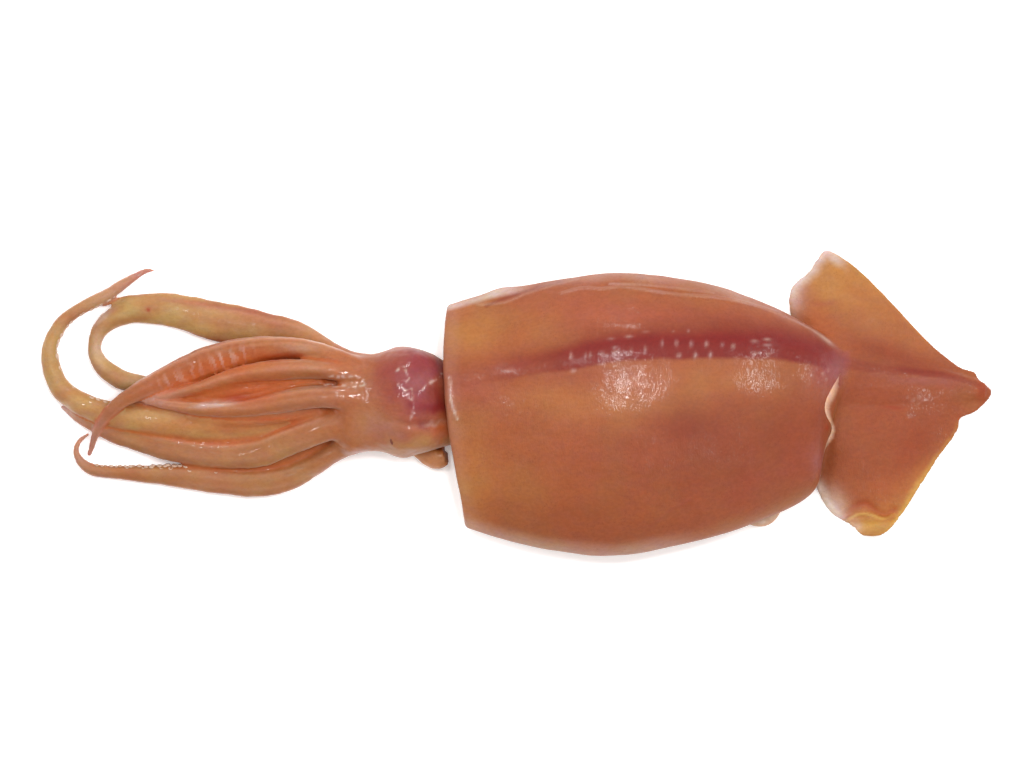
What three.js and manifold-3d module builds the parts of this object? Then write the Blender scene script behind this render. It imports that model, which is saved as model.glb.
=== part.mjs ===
// A whole raw squid that lies on its belly, in millimetres: a slack mantle tube with an open collar, the flat
// tail with its two fins, the head, and ten arms that trail in loose curls. All of it is one piece of flesh,
// so it is one solid. +X runs to the tip of the tail, +Y to the squid's right side and +Z up. The driving
// dimensions are laid out from the middle of the collar's dorsal edge, and the finished solid is then
// centred over the origin with its lowest point on z = 0.
import * as THREE from 'three';
import { mergeVertices } from 'three/addons/utils/BufferGeometryUtils.js';
import Module from 'manifold-3d';

const wasm = await Module();
wasm.setup();

// ---- driving dimensions -------------------------------------------------------------------------------

// Stations of the mantle from the collar to its blunt rear end. Each has a point on its right edge, a point on
// its left edge, its height, the height of its widest line, and where the dorsal keel runs across it
// (-1 at the left edge, 1 at the right edge).
const MANTLE = [
  { right: [0.5, 36], left: [7.5, -46.5], height: 25, side: 11, keel: 0.37 },
  { right: [17, 40.5], left: [20, -50.4], height: 29, side: 12, keel: 0.38 },
  { right: [38, 44.5], left: [38, -54.6], height: 34, side: 14, keel: 0.4 },
  { right: [64, 47.7], left: [62, -56.7], height: 37, side: 15, keel: 0.5 },
  { right: [93, 44.3], left: [93, -51], height: 35, side: 14, keel: 0.54 },
  { right: [116, 37.1], left: [116, -43.6], height: 31, side: 12, keel: 0.61 },
  { right: [134, 28], left: [134.8, -33.6], height: 24, side: 10, keel: 0.69 },
  { right: [141.5, 22.5], left: [139.5, -18], height: 17.5, side: 8, keel: 0.75 },
  { right: [146, 18.5], left: [146.8, 9], height: 11, side: 6, keel: 0.75 },
];
const KEEL_HEIGHT = 1.4;
const KEEL_WIDTH = 0.1; // as a share of the mantle's half width
const COLLAR_BOW = 3; // how far the middle of the collar stands forward of its corners
const REAR_BOW = 2; // and the middle of the rear end behind its own
const BOW_ENDS = 0.2; // share of the mantle's length over which each bow dies away
const WALL = 4;
const POCKET_DEPTH = 0.2; // share of the mantle's length that the open collar reaches in
const MANTLE_RINGS = 28;
const MANTLE_SIDES = 32;

// The outline of the tail and both fins, anticlockwise from the tip. The last points lie under the mantle.
const FIN_OUTLINE = [
  [200, 3.5], [198, 6.5], [195.5, 9.3], [190, 12], [185.5, 15.4], [176, 24.5], [165, 36], [154.5, 46.8],
  [147, 52.8], [140.4, 56.2], [136.4, 52.2], [133.6, 48], [129.6, 44.8], [127, 41], [126.6, 34.5],
  [128.5, 23], [130.5, 1], [132, -18], [137, -32.5], [139.7, -38], [143.5, -42.2], [149, -45.4],
  [154, -49.4], [160, -49.3], [166, -44.4], [174.2, -32.5], [181.8, -20.5], [188.5, -11.2], [189.8, -6.2],
  [194.4, -3.6], [198.6, 0],
];
const FIN_CENTRE = [160, 3];
const FIN_THICKNESS = 4;
const FIN_RIM = 1.6;
const FIN_LIFT = 3.5; // how far the fins stand off the table beside the mantle
const FIN_SPOKES = 62;
const FIN_RINGS = 5;
// The turned-up corner of the left fin.
const CURL = { from: [146, -43.5], to: [169, -41.5], height: 4.2, reach: 3.6 };

// The flattened end of the mantle tube that runs on between the fins: x, y, z and width.
const TAIL = [
  [126, 15.2, 5.6, 27], [140, 12.8, 5.4, 25], [155, 10.6, 4.7, 20.5], [170, 8.4, 4, 15.5],
  [184, 6.3, 3.3, 11], [194, 4.9, 2.8, 8], [199, 4, 2.4, 5.4],
];
const TAIL_DEPTH = 0.42; // height as a share of width
const TAIL_SIDES = 14;

// Stations of the head from the crown of the arms to the neck inside the mantle:
// x, right edge, left edge, top and underside.
const HEAD = [
  [-43, 11, -13, 15, 5],
  [-37.5, 17.5, -19, 20.5, 2],
  [-32, 17.9, -18.9, 22.5, 1],
  [-26.5, 18.1, -18.1, 24, 0.3],
  [-21, 19.4, -19, 26.5, 0],
  [-16, 20.6, -20.2, 28, 0],
  [-10.5, 19.7, -19.3, 27.6, 0.3],
  [-5, 17.5, -17.6, 24.5, 1],
  [0, 14.8, -16.2, 20.2, 2],
  [8.5, 12, -14.5, 18.5, 3],
  [20, 9, -12.5, 17, 3],
  [34, 6, -10, 16, 3],
];
const HEAD_RINGS = 18;
const HEAD_SIDES = 20;
const EYE = { x: -16, y: 13.8, z: 13, size: [8.5, 7, 8.5] };

// The funnel, whose mouth shows beside the head at the collar, and a scrap of skin under the mantle's left
// edge: x, y, z and width.
const FUNNEL = [[-14, -14.5, 5.4, 5.5], [-9, -17.6, 5, 8], [-4, -20, 4.6, 9.8], [0.3, -20.4, 4.4, 7.6]];
const FUNNEL_DEPTH = 0.8;
const SCRAP = [[109, -38.5, 2, 7], [113.5, -41.6, 2, 8.4], [118, -41.8, 2, 7.6], [122, -38.4, 2, 5]];
const SCRAP_DEPTH = 0.3;

// The arms. Each path is x, y, z and width, from inside the head to the tip.
const ARMS = {
  upper_loop: [
    [-26, 11.3, 12, 9], [-37.5, 15.6, 11, 8.2], [-47.6, 21, 8.5, 8.5], [-56.5, 25, 6.5, 10.2],
    [-65.5, 26.4, 5, 12], [-75, 28.2, 4.2, 13.4], [-85.5, 29.9, 4, 14.2], [-96.3, 32.8, 3.8, 12.6],
    [-105.5, 34.4, 3.4, 11.6], [-115, 34.2, 3.2, 9.8], [-122.4, 31.6, 3, 7.8], [-128.2, 27, 2.8, 6],
    [-130.4, 20.5, 2.8, 4.6], [-129.3, 16, 3, 5.6], [-125.9, 11.8, 3.2, 6.8], [-120.2, 8.2, 3.3, 7],
    [-113.5, 6.8, 3.4, 6.2], [-104, 5.2, 3.4, 4.8], [-95, 3.7, 3.2, 2.6],
  ],
  crossing: [
    [-26, 9.6, 15, 8.4], [-37.5, 14.8, 17, 7.7], [-48.7, 18.8, 15.5, 7.4], [-61.5, 20, 13.5, 8.1],
    [-74.5, 18.6, 12, 10], [-86.7, 15.4, 10.8, 10.9], [-97.8, 11, 9.8, 10.2], [-107.7, 6.7, 9.8, 8],
    [-117, 2.2, 10.6, 6], [-123.2, -2.4, 10.4, 4.6], [-127.3, -7, 8.2, 3.6], [-129.9, -11.8, 4.6, 2.8],
    [-131.4, -16.2, 2, 2.2], [-132.5, -19.9, 1.2, 1.2],
  ],
  top_right: [
    [-25.5, 6.6, 17.5, 7.6], [-37.5, 10.7, 19.5, 7.4], [-50.6, 12.2, 18.5, 7], [-61.6, 11.8, 17, 7.4],
    [-72.7, 10.7, 15.5, 6.6], [-82, 8.5, 14.4, 5.5], [-90, 5.9, 13.4, 4.4], [-97.8, 3.7, 12.4, 3.5],
    [-104.8, 2.2, 11.5, 2.6], [-111, 1.1, 10.8, 1.3],
  ],
  top_left: [
    [-25.5, 1.5, 18, 8], [-37.5, 1.8, 20, 8.9], [-48.7, 1.8, 18.5, 8.1], [-59.8, 0.4, 16.5, 8.1],
    [-70.8, -1.5, 14.8, 6.6], [-82, -2.6, 13.2, 5.5], [-93, -2.2, 12.2, 4.8], [-102.2, -1.1, 11.2, 3.7],
    [-109.6, 0, 10.6, 2.4], [-115, 1.1, 10.2, 1.1],
  ],
  broad_left: [
    [-26, -3.7, 14.5, 9], [-37.5, -7, 15.5, 10.3], [-48.7, -10.7, 13.5, 10.6], [-59.8, -14.8, 11, 10.8],
    [-69.7, -18.5, 9, 10.6], [-80.8, -19.5, 7.4, 10], [-91.9, -18.9, 6.2, 9.6], [-103, -17, 5.2, 8.8],
    [-113.3, -14.6, 4.2, 7.6], [-122.5, -11.9, 3.4, 6.8], [-129.9, -8.6, 2.8, 5.4], [-136.2, -5.4, 2.2, 4.2],
    [-142.8, -1.5, 1.2, 1.4],
  ],
  outer_loop: [
    [-35.8, -1.1, 12, 8.1], [-46.9, -3.7, 11, 8.5], [-59.8, -6.6, 9.4, 9.8], [-72.7, -8.9, 8.4, 11.6],
    [-87.5, -9, 7.8, 12], [-102.2, -7, 7.2, 11.6], [-113.3, -6, 6.8, 10], [-122.5, -4.9, 6.2, 9.2],
    [-131.7, -2.2, 5.2, 8.4], [-137.6, 0.8, 4.2, 8], [-142.9, 5, 3.3, 7.4], [-146.1, 11.6, 3, 6.8],
    [-146.9, 20.4, 3, 5.6], [-143.4, 27.9, 3, 5], [-138.3, 32.8, 3.2, 4.4], [-132, 36.4, 3.8, 4.6],
    [-125.8, 39.5, 4, 4.5], [-119.8, 43.6, 3.2, 3.6], [-114.8, 46.8, 2.2, 2.5], [-111.2, 48.6, 1.6, 1.7],
    [-108.3, 48.6, 1.2, 0.8],
  ],
  lowest: [
    [-26, -9.6, 12, 9.6], [-36.5, -15.8, 9.5, 8.2], [-43.9, -19.8, 7.6, 8], [-51.3, -24.1, 6, 9],
    [-59.8, -28, 5, 10], [-70.8, -29.7, 4.4, 10.6], [-83.8, -29.1, 4, 10], [-96.7, -28, 3.5, 8.9],
    [-109.6, -27.3, 3.1, 6.8], [-120, -26.7, 2.8, 5.6], [-127.5, -25.9, 2.5, 4.7], [-131.7, -24.8, 2.4, 4.2],
    [-134.8, -22.8, 2.3, 3.4], [-136.7, -20.2, 2.1, 2.6], [-137.2, -17.6, 2, 2.1], [-136.4, -15.1, 1.8, 1.8],
    [-134.7, -13.2, 1.6, 1.5], [-132.4, -11.8, 1.5, 1],
  ],
  under_middle: [
    [-28.4, 3.7, 9, 8.9], [-43.2, 6.6, 8.5, 8.9], [-57.9, 8.1, 8, 8.9], [-72.7, 6.3, 7.4, 9.4],
    [-87.5, 3.8, 6.6, 9], [-102.2, 2, 5, 7.8], [-115.1, 3.7, 3.4, 3.2], [-125.8, 4.1, 2.4, 1.3],
  ],
  under_left: [
    [-28.4, -7.4, 6.5, 8.9], [-41, -12.8, 5.4, 9], [-54, -18, 4.6, 9.4], [-68, -21.6, 3.8, 8.6],
    [-82, -22.4, 3, 7.4], [-93, -21.3, 2.6, 5.8], [-102, -18.8, 2, 3.4], [-109.6, -15.8, 1.6, 1.3],
  ],
  under_right: [
    [-28.4, 11.1, 6.5, 8.9], [-43.2, 16.2, 5, 8.9], [-57.9, 18.4, 4.2, 8.9], [-70.8, 19.6, 3.4, 7.4],
    [-80.8, 19.6, 2.6, 5.2], [-90.5, 17.7, 1.8, 2],
  ],
};

// A thin web of skin along the outside of the upper loop, across to the outer one: x, y, z and width.
const WEB = [
  [-98, 37.6, 3.4, 1.6], [-106.3, 38.9, 3.2, 2.2], [-114.2, 38.9, 3, 2], [-121, 37.9, 3, 1.8],
  [-127.5, 36, 3.2, 2],
];

const ARM_SIDES = 8;
const ARM_STEP = { share: 0.75, least: 2.6, most: 6.6 }; // from ring to ring, as a share of width
const ARM_DEPTH = 0.8; // thickness as a share of width
const ARM_DEEPEST = 6.5;

// Suckers that stand proud of an arm: from and to are shares of its length, and turn is where they sit round
// it, in degrees from its left edge over its top to its right edge, seen facing the tip.
const SUCKER_ROWS = [
  { arm: 'outer_loop', from: 0.5, to: 0.84, turn: 170, pitch: 3.6 },
  { arm: 'lowest', from: 0.45, to: 0.78, turn: 165, pitch: 3.4 },
  { arm: 'crossing', from: 0.34, to: 0.7, turn: 100, pitch: 4 },
];
const SUCKER_SHARE = 0.24; // radius as a share of the arm's width there
const SUCKER_LARGEST = 1.5;

// The lip of skin that has rolled back where the full part of the mantle ends and the flat tail begins.
const LIP = [
  [146, 9, 10.6, 1.8], [143.6, 6.6, 11.6, 2.6], [141, 3.4, 12, 3], [140.2, -0.8, 11.6, 3],
  [141, -6, 10.8, 2.8], [142.6, -9.7, 9.8, 2.8], [141, -13.6, 9.2, 2.4], [139.6, -18.4, 8.4, 1.6],
];
const LIP_DEPTH = 0.85;

// ---- helpers ------------------------------------------------------------------------------------------

const smooth = (low, high, value) => THREE.MathUtils.smoothstep(value, low, high);
const bell = (value, width) => Math.exp(-((value / width) ** 2));

// A solid from rings of points that all have one count; a fan closes each end.
function loft(rings) {
  const sides = rings[0].length;
  const points = rings.flat();
  const faces = [];
  for (let ring = 0; ring + 1 < rings.length; ring++) {
    for (let side = 0; side < sides; side++) {
      const next = (side + 1) % sides;
      const a = ring * sides + side;
      const b = ring * sides + next;
      faces.push([a, b, a + sides], [b, b + sides, a + sides]);
    }
  }
  for (const end of [0, rings.length - 1]) {
    const middle = new THREE.Vector3();
    rings[end].forEach((point) => middle.add(point));
    points.push(middle.divideScalar(sides));
    for (let side = 0; side < sides; side++) {
      const a = end * sides + side;
      const b = end * sides + ((side + 1) % sides);
      faces.push(end === 0 ? [points.length - 1, b, a] : [points.length - 1, a, b]);
    }
  }
  return solid(points, faces);
}

// A Manifold from points and faces, turned the right way out if the faces point in.
function solid(points, faces) {
  let volume = 0;
  for (const [a, b, c] of faces) {
    volume += points[a].dot(new THREE.Vector3().crossVectors(points[b], points[c]));
  }
  const outward = volume > 0 ? faces : faces.map(([a, b, c]) => [a, c, b]);
  const vertProperties = new Float32Array(points.flatMap((point) => point.toArray()));
  const triVerts = new Uint32Array(outward.flat());
  return new wasm.Manifold(new wasm.Mesh({ numProp: 3, vertProperties, triVerts }));
}

// A Manifold from one of three.js's own closed geometries.
function solidOf(geometry) {
  geometry.deleteAttribute('normal');
  geometry.deleteAttribute('uv');
  const merged = mergeVertices(geometry, 1e-4);
  const vertProperties = new Float32Array(merged.attributes.position.array);
  const triVerts = new Uint32Array(merged.index.array);
  return new wasm.Manifold(new wasm.Mesh({ numProp: 3, vertProperties, triVerts }));
}

function ellipsoid(at, size, across = 12, down = 8) {
  const geometry = new THREE.SphereGeometry(1, across, down);
  geometry.scale(...size);
  geometry.translate(...at);
  return solidOf(geometry);
}

// Smooth values between the rows of a table, by row number.
function blend(rows, at) {
  const last = rows.length - 1;
  const row = Math.min(Math.max(at, 0), last);
  const low = Math.min(Math.floor(row), last - 1);
  const t = row - low;
  const pick = (index) => rows[Math.min(Math.max(index, 0), last)];
  const [a, b, c, d] = [pick(low - 1), pick(low), pick(low + 1), pick(low + 2)];
  return b.map((value, i) => 0.5 * (2 * value + (c[i] - a[i]) * t
    + (2 * a[i] - 5 * value + 4 * c[i] - d[i]) * t * t
    + (3 * value - a[i] - 3 * c[i] + d[i]) * t ** 3));
}

// ---- mantle -------------------------------------------------------------------------------------------

const MANTLE_ROWS = MANTLE.map((station) => [
  ...station.right, ...station.left, station.height, station.side, station.keel,
]);

// One ring round the mantle, along is 0 at the collar and 1 at the rear end, inset is its distance in from
// the skin, and forward moves it towards the head.
function mantleRing(along, sides, inset = 0, forward = 0) {
  const [rightX, rightY, leftX, leftY, height, side, keel] = blend(MANTLE_ROWS, along * (MANTLE.length - 1));
  const middle = [(rightX + leftX) / 2, (rightY + leftY) / 2];
  const half = [(rightX - leftX) / 2, (rightY - leftY) / 2];
  const share = Math.max(1 - inset / Math.hypot(...half), 0.02);
  const bow = COLLAR_BOW * (1 - smooth(0, BOW_ENDS, along)) - REAR_BOW * smooth(1 - BOW_ENDS, 1, along);
  const top = Math.max(height - inset, side + 0.5);
  const ring = [];
  for (let i = 0; i < sides; i++) {
    const angle = (2 * Math.PI * i) / sides;
    const across = Math.cos(angle);
    const inward = 1 - across * across;
    let z;
    if (Math.sin(angle) >= 0) {
      const crown = (top - side) * inward ** 0.56 * (1 + 0.14 * across * inward);
      z = side + crown + (inset ? 0 : KEEL_HEIGHT * bell(across - keel, KEEL_WIDTH) * smooth(0, 0.2, along));
    } else {
      const floor = inset ? WALL : 0;
      z = floor + (side - floor) * Math.max(0, 1 - Math.sqrt(inward / 0.5));
    }
    ring.push(new THREE.Vector3(
      middle[0] + half[0] * across * share - bow * inward * (1 + 0.3 * across) - forward,
      middle[1] + half[1] * across * share,
      z,
    ));
  }
  return ring;
}

function mantle() {
  const rings = [];
  for (let i = 0; i < MANTLE_RINGS; i++) {
    rings.push(mantleRing(i / (MANTLE_RINGS - 1), MANTLE_SIDES));
  }
  return loft(rings);
}

// The space inside the open collar: straight walls that round off to a blind end.
function pocket() {
  const rings = [mantleRing(0, MANTLE_SIDES, WALL, 4)];
  const steps = 9;
  for (let i = 0; i <= steps; i++) {
    const turn = (Math.PI / 2) * (i / steps);
    const along = POCKET_DEPTH * Math.sin(turn);
    const closing = 12 * (1 - Math.cos(turn));
    rings.push(mantleRing(along, MANTLE_SIDES, WALL + closing));
  }
  return loft(rings);
}

// ---- tail and fins ------------------------------------------------------------------------------------

// Underside and top of the fins at x, y; rim is 0 in the centre and 1 at the edge.
function finSection(x, y, rim) {
  const nearMantle = 1 - smooth(134, 168, x);
  const lift = FIN_LIFT * nearMantle * (1 - smooth(0.5, 1, rim)) + 0.6 * (1 + Math.sin(x / 7 + y / 9)) * rim;
  const [fromX, fromY] = CURL.from;
  const [toX, toY] = CURL.to;
  const share = (x - fromX) / (toX - fromX);
  const past = fromY + (toY - fromY) * share - y;
  const along = smooth(-0.15, 0.15, share) * (1 - smooth(0.85, 1.1, share));
  const bottom = lift + CURL.height * smooth(-0.5, CURL.reach, past) * along;
  return { bottom, top: bottom + FIN_THICKNESS + (FIN_RIM - FIN_THICKNESS) * smooth(0.35, 1, rim) };
}

function fins() {
  const [centreX, centreY] = FIN_CENTRE;
  const outline = new THREE.CatmullRomCurve3(
    FIN_OUTLINE.map(([x, y]) => new THREE.Vector3(x, y, 0)), true, 'centripetal',
  );
  const rim = outline.getSpacedPoints(FIN_SPOKES).slice(0, FIN_SPOKES);
  const points = [];
  const faces = [];
  for (const side of ['top', 'bottom']) {
    points.push(new THREE.Vector3(centreX, centreY, finSection(centreX, centreY, 0)[side]));
    for (let ring = 1; ring <= FIN_RINGS; ring++) {
      const share = (ring / FIN_RINGS) ** 0.65;
      for (const edge of rim) {
        const x = centreX + (edge.x - centreX) * share;
        const y = centreY + (edge.y - centreY) * share;
        points.push(new THREE.Vector3(x, y, finSection(x, y, share)[side]));
      }
    }
  }
  const perSide = 1 + FIN_RINGS * FIN_SPOKES;
  const at = (side, ring, spoke) => side * perSide + 1 + (ring - 1) * FIN_SPOKES + (spoke % FIN_SPOKES);
  for (let spoke = 0; spoke < FIN_SPOKES; spoke++) {
    faces.push([0, at(0, 1, spoke), at(0, 1, spoke + 1)]);
    faces.push([perSide, at(1, 1, spoke + 1), at(1, 1, spoke)]);
    for (let ring = 1; ring < FIN_RINGS; ring++) {
      const [a, b] = [at(0, ring, spoke), at(0, ring, spoke + 1)];
      const [c, d] = [at(0, ring + 1, spoke), at(0, ring + 1, spoke + 1)];
      faces.push([a, c, d], [a, d, b]);
      const [e, f] = [at(1, ring, spoke), at(1, ring, spoke + 1)];
      const [g, h] = [at(1, ring + 1, spoke), at(1, ring + 1, spoke + 1)];
      faces.push([e, h, g], [e, f, h]);
    }
    const [p, q] = [at(0, FIN_RINGS, spoke), at(0, FIN_RINGS, spoke + 1)];
    const [r, s] = [at(1, FIN_RINGS, spoke), at(1, FIN_RINGS, spoke + 1)];
    faces.push([p, r, s], [p, s, q]);
  }
  return solid(points, faces);
}

// ---- head ---------------------------------------------------------------------------------------------

function head() {
  const rings = [];
  for (let i = 0; i < HEAD_RINGS; i++) {
    const [x, right, left, top, bottom] = blend(HEAD, (i / (HEAD_RINGS - 1)) * (HEAD.length - 1));
    const ring = [];
    for (let side = 0; side < HEAD_SIDES; side++) {
      const angle = (2 * Math.PI * side) / HEAD_SIDES;
      const y = (right + left) / 2 + ((right - left) / 2) * Math.cos(angle);
      const rise = Math.sign(Math.sin(angle)) * Math.abs(Math.sin(angle)) ** 0.85;
      const z = (top + bottom) / 2 + ((top - bottom) / 2) * rise;
      ring.push(new THREE.Vector3(x, y, Math.max(z, 0)));
    }
    rings.push(ring);
  }
  const eyes = [-1, 1].map((side) => ellipsoid([EYE.x, EYE.y * side, EYE.z], EYE.size));
  return wasm.Manifold.union([loft(rings), ...eyes]);
}

// ---- arms ---------------------------------------------------------------------------------------------

// A smooth path through an arm's points, with its width and its two sideways directions at each share of it.
function armPath(rows) {
  const points = rows.map(([x, y, z]) => new THREE.Vector3(x, y, z));
  const curve = new THREE.CatmullRomCurve3(points, false, 'centripetal');
  return {
    length: curve.getLength(),
    at(share) {
      const t = curve.getUtoTmapping(share);
      const point = curve.getPoint(t);
      const along = curve.getTangent(t);
      const side = new THREE.Vector3(-along.y, along.x, 0).normalize();
      const up = new THREE.Vector3().crossVectors(along, side).normalize();
      const width = Math.max(blend(rows, t * (rows.length - 1))[3], 0.6);
      return { point, side, up, width };
    },
  };
}

// A tapering limb along a path, flat where it meets the table.
function sweep(rows, depthOf, sides = ARM_SIDES) {
  const path = armPath(rows);
  const rings = [];
  for (let share = 0; share <= 1;) {
    const { point, side, up, width } = path.at(share);
    const ring = [];
    for (let corner = 0; corner < sides; corner++) {
      const angle = (2 * Math.PI * (corner + 0.5)) / sides;
      const vertex = point.clone()
        .addScaledVector(side, (width / 2) * Math.cos(angle) / Math.cos(Math.PI / sides))
        .addScaledVector(up, (depthOf(width) / 2) * Math.sin(angle));
      vertex.z = Math.max(vertex.z, 0);
      ring.push(vertex);
    }
    rings.push(ring);
    const step = THREE.MathUtils.clamp(width * ARM_STEP.share, ARM_STEP.least, ARM_STEP.most) / path.length;
    share = share < 1 && share + 1.5 * step > 1 ? 1 : share + step;
  }
  return loft(rings);
}

const armDepth = (width) => Math.min(width * ARM_DEPTH, ARM_DEEPEST);

function suckers({ arm, from, to, turn, pitch }) {
  const path = armPath(ARMS[arm]);
  const angle = THREE.MathUtils.degToRad(turn);
  const count = Math.round(((to - from) * path.length) / pitch);
  const row = [];
  for (let i = 0; i <= count; i++) {
    const spot = path.at(from + ((to - from) * i) / count);
    const radius = Math.min(spot.width * SUCKER_SHARE, SUCKER_LARGEST);
    const at = spot.point.clone()
      .addScaledVector(spot.side, (spot.width / 2 - radius * 0.2) * Math.cos(angle))
      .addScaledVector(spot.up, (armDepth(spot.width) / 2 - radius * 0.2) * Math.sin(angle));
    const bead = new THREE.IcosahedronGeometry(radius, 0);
    bead.translate(at.x, at.y, Math.max(at.z, radius));
    row.push(solidOf(bead));
  }
  return row;
}

// ---- the squid ----------------------------------------------------------------------------------------

const parts = [
  mantle().subtract(pocket()),
  fins(),
  sweep(TAIL, (width) => width * TAIL_DEPTH, TAIL_SIDES),
  sweep(LIP, (width) => width * LIP_DEPTH),
  sweep(SCRAP, (width) => width * SCRAP_DEPTH),
  head(),
  sweep(FUNNEL, (width) => width * FUNNEL_DEPTH),
  ...Object.values(ARMS).map((rows) => sweep(rows, armDepth)),
  sweep(WEB, armDepth),
  ...SUCKER_ROWS.flatMap(suckers),
];
const flesh = wasm.Manifold.union(parts).simplify(0.05).getMesh();

const geometry = new THREE.BufferGeometry();
geometry.setAttribute('position', new THREE.BufferAttribute(new Float32Array(flesh.vertProperties), 3));
geometry.setIndex(new THREE.BufferAttribute(new Uint32Array(flesh.triVerts), 1));
geometry.computeBoundingBox();
const box = geometry.boundingBox;
geometry.translate(-(box.min.x + box.max.x) / 2, -(box.min.y + box.max.y) / 2, -box.min.z);

const skin = new THREE.MeshStandardMaterial({ color: 0xb97b55, roughness: 0.3, metalness: 0 });
const squid = new THREE.Mesh(geometry, skin);
squid.name = 'squid';

const group = new THREE.Group();
group.add(squid);
export default group;
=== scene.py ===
"""Dresses a whole raw squid: wet skin over the mantle, tail, fins, head and arms, with its suckers, eyes and
loose scraps of skin, on a pale table under soft light.

The flesh is drawn in millimetres from the middle of the collar's dorsal edge, with +X to the tip of the tail
and +Y to the squid's right, and every mesh is then set into the frame in metres.
"""

import math
from types import SimpleNamespace

import bpy
import numpy as np
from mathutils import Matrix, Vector, noise


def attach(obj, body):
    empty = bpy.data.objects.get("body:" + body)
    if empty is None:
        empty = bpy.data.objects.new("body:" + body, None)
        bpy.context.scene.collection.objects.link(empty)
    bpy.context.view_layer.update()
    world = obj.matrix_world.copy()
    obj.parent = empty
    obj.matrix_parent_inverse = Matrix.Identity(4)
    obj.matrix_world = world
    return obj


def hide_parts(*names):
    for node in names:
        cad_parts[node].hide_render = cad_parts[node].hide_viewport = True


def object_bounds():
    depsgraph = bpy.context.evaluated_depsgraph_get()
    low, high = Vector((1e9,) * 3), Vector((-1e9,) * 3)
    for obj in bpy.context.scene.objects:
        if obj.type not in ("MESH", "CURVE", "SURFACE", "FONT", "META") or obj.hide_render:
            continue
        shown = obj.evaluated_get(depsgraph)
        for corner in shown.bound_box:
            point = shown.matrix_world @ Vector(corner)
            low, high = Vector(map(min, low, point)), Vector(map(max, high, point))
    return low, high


bl_info = {
    "name": "Whole Squid",
    "version": (1, 0, 0),
    "blender": (4, 5, 0),
    "location": "3D View > Sidebar > Squid",
    "description": "Builds the skin, suckers and eyes of a whole raw squid round its packed model",
    "category": "Object",
}

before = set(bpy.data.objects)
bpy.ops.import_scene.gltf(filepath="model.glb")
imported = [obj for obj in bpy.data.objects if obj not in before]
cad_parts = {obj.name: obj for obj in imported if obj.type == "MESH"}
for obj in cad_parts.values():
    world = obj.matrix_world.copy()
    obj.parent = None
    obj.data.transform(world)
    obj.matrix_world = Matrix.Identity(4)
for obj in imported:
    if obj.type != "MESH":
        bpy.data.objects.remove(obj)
cad_low, cad_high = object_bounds()

NODE = "squid"
BODY = "root"
MM = 0.001


# ---- shapes: the driving dimensions, in millimetres ----------------------------------------------------

# Stations of the mantle from collar to blunt rear end: right edge x, y, left edge x, y, height, height of
# the widest line, and the place of the dorsal keel across it (-1 left edge, 1 right edge).
MANTLE = [
    (1, 36, 7.8, -46.5, 25, 11, 0.37),
    (17, 40.5, 20, -50.4, 29, 12, 0.38),
    (38, 44.5, 38, -54.6, 34, 14, 0.4),
    (64, 47.7, 62, -56.7, 37, 15, 0.5),
    (93, 44.3, 93, -51, 35, 14, 0.54),
    (116, 37.1, 116, -43.6, 31, 12, 0.61),
    (134, 28, 134.8, -33.6, 24, 10, 0.69),
    (141.5, 22.5, 139.5, -18, 17.5, 8, 0.75),
    (146, 18.5, 146.8, 9, 11, 6, 0.75),
]
MANTLE_LENGTH = 140
MANTLE_SIDES = 200
MANTLE_RINGS = 150
# How far the middle of the collar and of the rear end stand out, how much more of that lies on the right
# side, and the share of the mantle's length over which it fades away.
COLLAR_BOW = 3.4
REAR_BOW = 2
BOW_SKEW = 0.5
BOW_ENDS = 0.2
# The mantle's section: the power of the arch of its back, how much fuller that is on the right, how far the
# underside curves up at its sides, the least height of the back over the widest line, the keel's half width
# as a share of the mantle's, and the share of its length over which the keel rises.
BACK_ARCH = 0.56
BACK_SKEW = 0.14
BELLY_CURVE = 0.5
BACK_LEAST = 0.5
KEEL_WIDTH = 0.15
KEEL_RISE = 0.2
# The pocket at the collar: its depth as a share of the mantle's length, how round its blind end is, the rings
# over the collar's edge and down the wall, and the least share of the section that is left.
POCKET_DEPTH = 0.2
POCKET_ROUNDING = 12
COLLAR_RINGS = 9
POCKET_RINGS = 40
POCKET_LEAST = 0.02

# The outline of the tail and both fins, anticlockwise from the tip.
FIN_OUTLINE = [
    (201.6, 3.6), (200.6, 5.4), (198.6, 6.7), (196.4, 8.6), (195.2, 11), (190.8, 12.4), (185.5, 15.8),
    (176, 24.5), (165, 36), (154.5, 46.8),
    (147, 52.8), (140.4, 56.2), (136.4, 52.2), (133.6, 48), (129.6, 44.8), (127, 41), (126.6, 34.5),
    (128.5, 23), (130.5, 1), (132, -18), (137, -32.5), (139.7, -38), (143.5, -42.2), (149, -45.4),
    (154, -49.4), (160, -49.3), (166, -44.4), (174.2, -32.5), (181.8, -20.5), (188.5, -11.2), (189.8, -6.2),
    (195.4, -3.6), (200, 0.8),
]
FIN_CENTRE = (160, 3)
FIN_RINGS = 46
# Power that draws the fins' rings together towards the edge.
FIN_SPACING = 0.8
# How high the fins lie at their middle beside the mantle, and where that lift has run out.
FIN_LIFT = 3.5
FIN_LIFT_END = (134, 168)
# Waves at the fins' edges: height and how far apart they lie along X and along Y.
FIN_WAVE = 0.6
FIN_WAVE_X = 7
FIN_WAVE_Y = 9
# Share of the way to the edge over which the fins thin out, and how much more their edge is worn down.
FIN_TAPER = (0.35, 1)
FIN_WEAR = 0.38
FIN_WEAR_REACH = (7, 0)
# Ragged edge: depth everywhere and what the front edges have more, size of the rags, depth and size of the
# broad notches, and where the front edges end.
RAG_DEPTH = 0.18
RAG_FRONT = 0.3
RAG_SIZE = 2.2
NOTCH_DEPTH = 0.35
NOTCH_SIZE = 7
FRONT_EDGE_END = (140, 158)
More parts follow.
